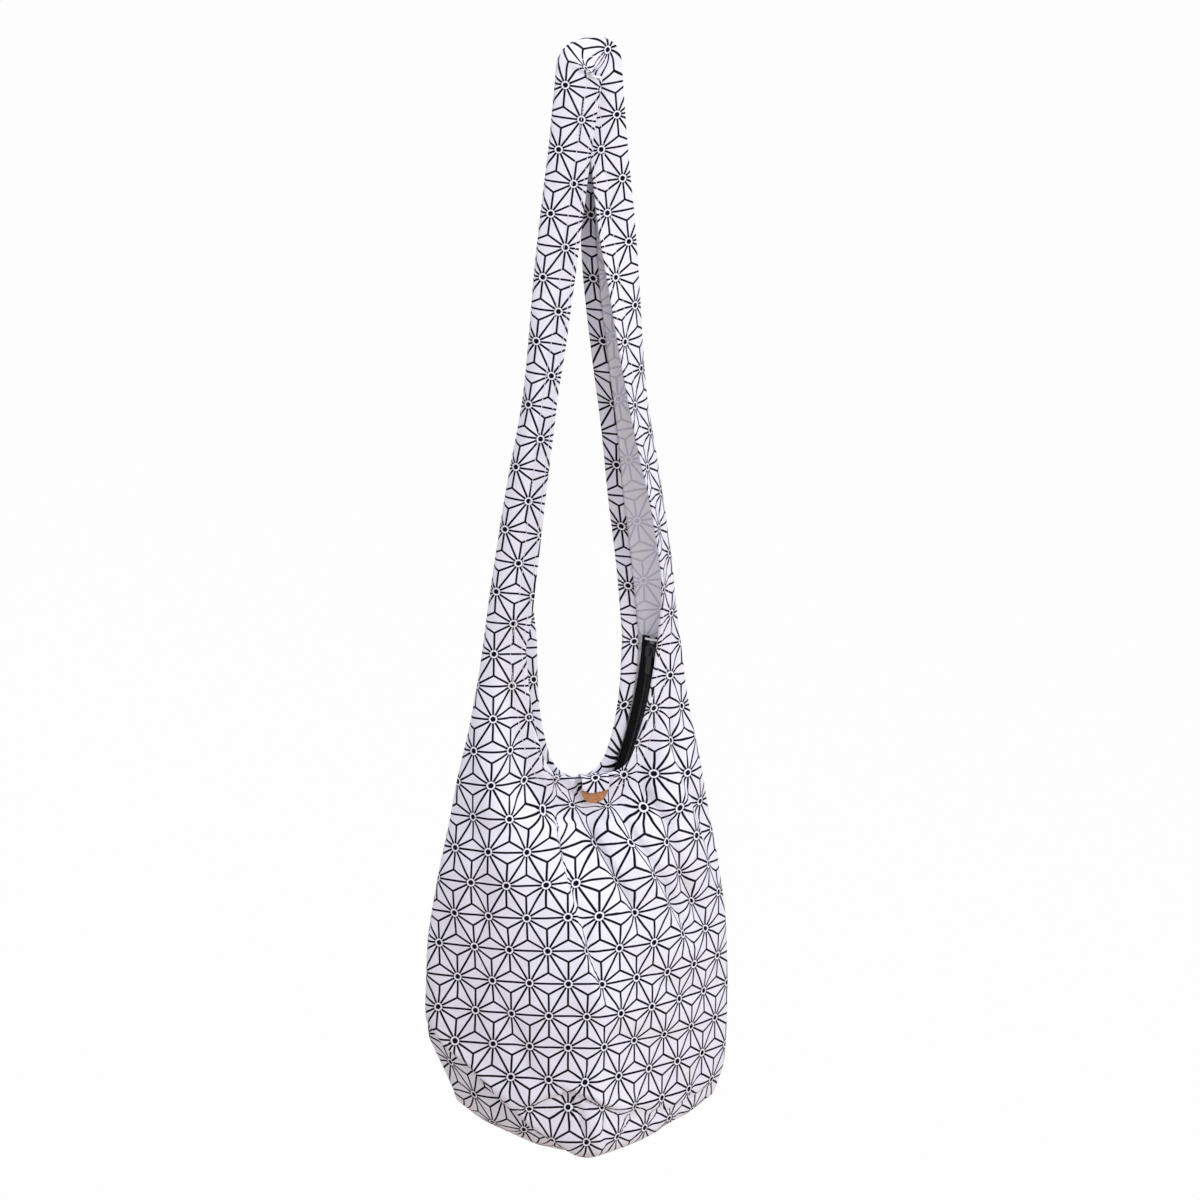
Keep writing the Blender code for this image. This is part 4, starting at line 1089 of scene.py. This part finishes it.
# Name, place in metres, size in metres and power in watts of each lamp
LAMPS = (("key", (2.4, -2.8, 1.0), 1.1, 74.0), ("fill", (-2.6, -2.6, 0.6), 2.2, 17.0),
         ("top", (-0.3, -0.5, 2.3), 1.4, 34.0), ("behind", (-1.6, 3.2, 0.9), 2.2, 30.0))
LAMP_AIM_Z = -0.55


class BAG_OT_stage(bpy.types.Operator):
    """Adds the pale floor, the soft lamps and the camera at the photograph's angle"""

    bl_idname = "bag.stage"
    bl_label = "Stage"

    def execute(self, context):
        azimuth, elevation, roll = (math.radians(turn) for turn in CAMERA_TURNS)
        right = Vector((math.cos(azimuth), math.sin(azimuth), 0))
        back = Vector((math.sin(azimuth) * math.cos(elevation), -math.cos(azimuth) * math.cos(elevation),
                       math.sin(elevation)))
        up = back.cross(right)
        rolled_right = right * math.cos(roll) + up * math.sin(roll)
        rolled_up = up * math.cos(roll) - right * math.sin(roll)
        pixel = PIXEL * MM
        centre = Vector((0, 0, (CAMERA_ANCHOR_Z - ORIGIN_Z) * MM))
        centre = centre + rolled_right * (CAMERA_SHIFT[0] * pixel) + rolled_up * (CAMERA_SHIFT[1] * pixel)
        data = bpy.data.cameras.new("camera")
        data.sensor_width = SENSOR
        data.lens = SENSOR * CAMERA_FAR / (PHOTO_PIXELS * pixel)
        data.clip_end = FLOOR_SIZE
        camera = bpy.data.objects.new("camera", data)
        context.collection.objects.link(camera)
        turn = Matrix((rolled_right, rolled_up, back)).transposed().to_4x4()
        camera.matrix_world = Matrix.Translation(centre + back * CAMERA_FAR) @ turn
        context.scene.camera = camera

        bpy.ops.mesh.primitive_plane_add(size=FLOOR_SIZE, location=(0, 0, FLOOR_Z))
        floor = context.active_object
        floor.name = "floor"
        pale = Finish("pale floor", Roughness=0.9, Base_Color=(*FLOOR_COLOUR, 1))
        seen = pale.node("ShaderNodeLightPath", output="Is Camera Ray")
        mirrored = pale.node("ShaderNodeLightPath", output="Is Glossy Ray")
        pale.mixed_shader(seen.maths("MAXIMUM", mirrored) * FLOOR_GLOW, Value(pale, pale.shader.outputs[0]),
                          pale.node("ShaderNodeEmission"), "Material Output")
        floor.data.materials.append(pale.material)

        world = bpy.data.worlds.new("white room")
        context.scene.world = world
        world.use_nodes = True
        room = Nodes(world.node_tree)
        dim = room.tree.nodes["Background"]
        dim.inputs[0].default_value, dim.inputs[1].default_value = (*ROOM_COLOUR, 1), ROOM_STRENGTH
        bright = room.node("ShaderNodeBackground", {}, {0: (1, 1, 1, 1)})
        room.mixed_shader(room.node("ShaderNodeLightPath", output="Is Camera Ray"),
                          Value(room, dim.outputs[0]), bright, "World Output")
        for name, place, size, power in LAMPS:
            lamp = bpy.data.lights.new(name, "AREA")
            lamp.shape = "SQUARE"
            lamp.size, lamp.energy = size, power
            holder = bpy.data.objects.new(name, lamp)
            context.collection.objects.link(holder)
            holder.location = place
            aim = Vector((0, 0, LAMP_AIM_Z)) - Vector(place)
            holder.rotation_euler = aim.to_track_quat("-Z", "Y").to_euler()
        context.scene.view_settings.view_transform = "Standard"
        return {"FINISHED"}


class BAG_OT_cloth(bpy.types.Operator):
    """Makes the two printed panels, each with its strap and its folded hem"""

    bl_idname = "bag.cloth"
    bl_label = "Printed panels"

    def execute(self, context):
        sizes, colours = context.scene.bag_sizes, context.scene.bag_colours
        outside = printed_cloth("printed cotton", sizes, colours.ink, colours.cloth)
        # The wrong side's ground is painted paler than the face: painted light for the light bounced inside
        # the straps.
        inside = printed_cloth("wrong side of the cotton", sizes, colours.ghost, WRONG_SIDE_PAINTED_PALER, strength=0.6)
        for name, face in FACES:
            sheet = cloth_mesh(f"{name}_cloth", panel_grids(face), face)
            round_off(sheet)
            fold_cloth(sheet, face)
            thicken(sheet, outside, inside)
            settle(sheet)
            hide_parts(f"{name}_panel", f"{name}_strap", f"{name}_facing")
        return {"FINISHED"}


def repaint(material, *nodes):
    """A new finish in the slots of CAD nodes that stay shown."""
    for node in nodes:
        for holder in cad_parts[node].material_slots:
            holder.material = material


def wound_thread(name, path, radius, sides, material):
    """A closed round thread along a path of points, in millimetres."""
    rows = []
    side = np.array([0.31, 0.87, 0.38])  # Any way that the path doesn't start along
    for k, point in enumerate(path):
        run = path[min(k + 1, len(path) - 1)] - path[max(k - 1, 0)]
        run = run / np.linalg.norm(run)
        if k == 0:
            side = np.cross(run, side)
        side = side - run * np.dot(side, run)
        side = side / np.linalg.norm(side)
        other = np.cross(run, side)
        turns = [2 * math.pi * j / sides for j in range(sides)]
        rows.append([point + radius * (side * math.cos(a) + other * math.sin(a)) for a in turns])
    item = lofted(name, rows, closed=True)
    item.data.materials.append(material)
    return item


def opening(signed):
    """Half the distance between the two chains past the slider, where the zip is open."""
    past = signed - SLIDER_PLACE + SLIDER_LENGTH * OPEN_FROM
    return OPEN_HALF * smooth(past / (SLIDER_LENGTH * OPEN_WITHIN))


def zip_station(signed):
    """Place, across and upward directions of the zip at a signed length from its lowest point."""
    place, out = zip_frame(abs(signed), 1 if signed >= 0 else -1)
    return place, across_zip(out), outer_normal(out)


def zip_tape(name, face):
    """One woven tape, from its chain to under the folded hem."""
    rows, places = [], []
    for signed in np.linspace(-HALF_LENGTH, HALF_LENGTH, TAPE_STEPS + 1):
        place, across, up = zip_station(signed)
        reach = np.linspace(TAPE_EDGE + opening(signed), TAPE_REACH, TAPE_COLUMNS)
        rows.append([place - across * face * r - up * HALF_GAP for r in reach])
        places.append([(r, signed) for r in reach])
    return lofted(f"zip_tape_{name}", rows, places)


def zip_coil(face, pitch):
    """One side of the chain: a thread wound in flat turns that reach between those of the other side."""
    turns = int((2 * HALF_LENGTH - 2 * COIL_END) / pitch)
    path = []
    for k in range(turns * COIL_STEPS):
        turn = k / COIL_STEPS
        signed = -HALF_LENGTH + COIL_END + pitch * (turn + (0.5 if face > 0 else 0.0))
        place, across, up = zip_station(signed)
        c, s = math.cos(2 * math.pi * turn), math.sin(2 * math.pi * turn)
        reach = COIL_MIDDLE - COIL_HALF * math.copysign(abs(c) ** COIL_FLAT, c) + opening(signed)
        rise = COIL_T / 2 + COIL_LIFT + (COIL_T / 2 - COIL_WIRE) * math.copysign(abs(s) ** COIL_FLAT, s)
        path.append(place - across * face * reach + up * rise)
    return path


class BAG_OT_zip(bpy.types.Operator):
    """Makes the woven tapes and wound coils, and finishes the slider, its pull and the end tacks"""

    bl_idname = "bag.zip"
    bl_label = "Zip"

    def execute(self, context):
        sizes, colours = context.scene.bag_sizes, context.scene.bag_colours
        cloth = woven("zip tape", colours.zip_black, pitch=0.0009)
        wire = plain("zip coil", [c * 1.3 for c in colours.zip_black], roughness=0.32)
        for name, face in FACES:
            tape = zip_tape(name, face)
            thicken(tape, cloth, cloth, TAPE)
            settle(tape)
            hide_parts(f"zipper_tape_{name}")
            path = zip_coil(face, sizes.tooth_pitch / MM)
            coil = wound_thread(f"zip_coil_{name}", path, COIL_WIRE, COIL_SIDES, wire)
            settle(coil)
            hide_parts(f"zipper_coil_{name}")
        enamel = plain("black enamel", (0.008, 0.008, 0.009), roughness=0.34, Specular_IOR_Level=0.4)
        repaint(enamel, "zipper_slider", "pull_tab")
        sewn = plain("white thread", (0.75, 0.74, 0.72), roughness=0.8)
        repaint(sewn, "zipper_tack_left", "zipper_tack_right")
        return {"FINISHED"}


def tab_rows():
    """The tab's rows, from inside the mouth over its edge and down over half the button, and flat places."""
    front = BUTTON_Y - BUTTON_T - TAB_OFF
    path = ((-4.0, -5.8), (1.5, -6.8), (4.6, -9.2), (5.2, -14.0), (5.2, -18.0), (3.8, front + 0.3),
            (-1.0, front), (-5.0, front), (BUTTON_Z, front + 0.2))
    rows, places = [], []
    gone = 0.0
    for k, (z, y) in enumerate(path):
        gone += math.dist(path[k], path[k - 1]) if k else 0.0
        droop = TAB_DROOP * smooth(k / (len(path) - 1) * 2 - 1)
        row = []
        for u in np.linspace(-1, 1, TAB_COLUMNS):
            wavy = y + TAB_WAVE * math.sin(7 * u + z * 0.5)
            low = z + TAB_RIPPLE * math.sin(4 * u) - droop * (1 - u * u) + TAB_CORNERS * droop * u * u
            row.append(np.array([BUTTON_X + (TAB_HALF + TAB_PAST) * u, wavy, low]))
        rows.append(row)
        places.append([(STAR_U + STAR / 2 + TAB_HALF * u, STAR_V - TAB_DOWN_STAR - gone)
                       for u in np.linspace(-1, 1, TAB_COLUMNS)])
    return rows, places


class BAG_OT_button(bpy.types.Operator):
    """Makes the shell button with its thread, and the cloth tab that comes down over it"""

    bl_idname = "bag.button"
    bl_label = "Button and tab"

    def execute(self, context):
        bpy.ops.mesh.primitive_cylinder_add(vertices=72, radius=BUTTON_D / 2 * MM, depth=BUTTON_T * MM)
        disc = context.active_object
        disc.name = "shell_button"
        bpy.ops.object.mode_set(mode="EDIT")
        bpy.ops.mesh.select_all(action="SELECT")
        bpy.ops.mesh.bevel(offset=BUTTON_BEVEL * MM, segments=4, profile=0.6, affect="EDGES")
        bpy.ops.mesh.select_all(action="DESELECT")
        bpy.ops.object.mode_set(mode="OBJECT")
        max(disc.data.polygons, key=lambda p: p.center.z).select = True
        bpy.ops.object.mode_set(mode="EDIT")
        for width, rise in BUTTON_RINGS:
            bpy.ops.mesh.inset(thickness=width * MM, depth=rise * MM)
        bpy.ops.object.mode_set(mode="OBJECT")
        tilt = math.radians(BUTTON_TILT_DEG)
        middle = Vector((BUTTON_X, BUTTON_Y - BUTTON_T / 2, BUTTON_Z - ORIGIN_Z)) * MM
        stand = Matrix.Translation(middle) @ Matrix.Rotation(math.pi / 2 + tilt, 4, "X")
        disc.data.transform(stand)
        bpy.ops.object.shade_smooth_by_angle(angle=math.radians(35))
        disc.data.materials.append(shell_finish(context.scene.bag_colours.shell))
        settle(disc)
        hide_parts("button")
        repaint(plain("button thread", (0.05, 0.045, 0.05), roughness=0.7), "button_shank")

        tab = lofted("button_tab_cloth", *tab_rows())
        outside = bpy.data.materials["printed cotton"]
        round_off(tab, levels=2)
        thicken(tab, outside, outside, TAB_SHEET)
        settle(tab)
        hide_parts("button_tab")
        return {"FINISHED"}


def pocket_rows():
    """The pocket's rows behind the front's, nearest to it along the foot and the sides, and flat places."""
    rows, places = [], []
    for z in np.linspace(POCKET_FOOT, POCKET_TOP, POCKET_ROWS):
        left, right = (body_row(z, side, -1)[POCKET_INSET:] for side in (-1, 1))
        front = left + right[::-1][1:]
        share = (z - POCKET_FOOT) / (POCKET_TOP - POCKET_FOOT)
        above = min(1.0, POCKET_FOOT_RATE * share + POCKET_LEAST)
        row = []
        for k, (x, y, height) in enumerate(front):
            across = abs(2 * k / (len(front) - 1) - 1)
            keep = above * min(1.0, (1 - across) * POCKET_SIDE_RATE + POCKET_LEAST)
            row.append(np.array([x, y + POCKET_BEHIND + (POCKET_BACK - POCKET_SEWN) * keep, height]))
        rows.append(row)
        places.append([(p[0], p[2]) for p in row])
    return rows, places


class BAG_OT_pocket(bpy.types.Operator):
    """Makes the plain inner wall of the front pocket"""

    bl_idname = "bag.pocket"
    bl_label = "Pocket"

    def execute(self, context):
        wall = lofted("pocket_cloth", *pocket_rows())
        lining = woven("plain cotton", (0.62, 0.62, 0.66), pitch=0.0008, roughness=0.9)
        thicken(wall, lining, lining)
        settle(wall)
        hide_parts("pocket_panel")
        return {"FINISHED"}


OPERATORS = (BAG_OT_stage, BAG_OT_cloth, BAG_OT_zip, BAG_OT_button, BAG_OT_pocket)


class BAG_PT_panel(bpy.types.Panel):
    """The bag's pieces, each made by one button"""

    bl_idname = "BAG_PT_panel"
    bl_label = "Cotton Shoulder Bag"
    bl_space_type = "VIEW_3D"
    bl_region_type = "UI"
    bl_category = "Bag"

    def draw(self, context):
        for group in (context.scene.bag_sizes, context.scene.bag_colours):
            column = self.layout.column(align=True)
            for name in group.bl_rna.properties.keys():
                if name not in ("rna_type", "name"):
                    column.prop(group, name)
        for operator in OPERATORS:
            self.layout.operator(operator.bl_idname)


CLASSES = (BagSizes, BagColours, *OPERATORS, BAG_PT_panel)


def register():
    for made in CLASSES:
        bpy.utils.register_class(made)
    bpy.types.Scene.bag_sizes = bpy.props.PointerProperty(type=BagSizes)
    bpy.types.Scene.bag_colours = bpy.props.PointerProperty(type=BagColours)


def unregister():
    del bpy.types.Scene.bag_colours
    del bpy.types.Scene.bag_sizes
    for made in reversed(CLASSES):
        bpy.utils.unregister_class(made)


def main():
    register()
    for operator in OPERATORS:
        group, name = operator.bl_idname.split(".")
        getattr(getattr(bpy.ops, group), name)()


if __name__ == "__main__":
    main()
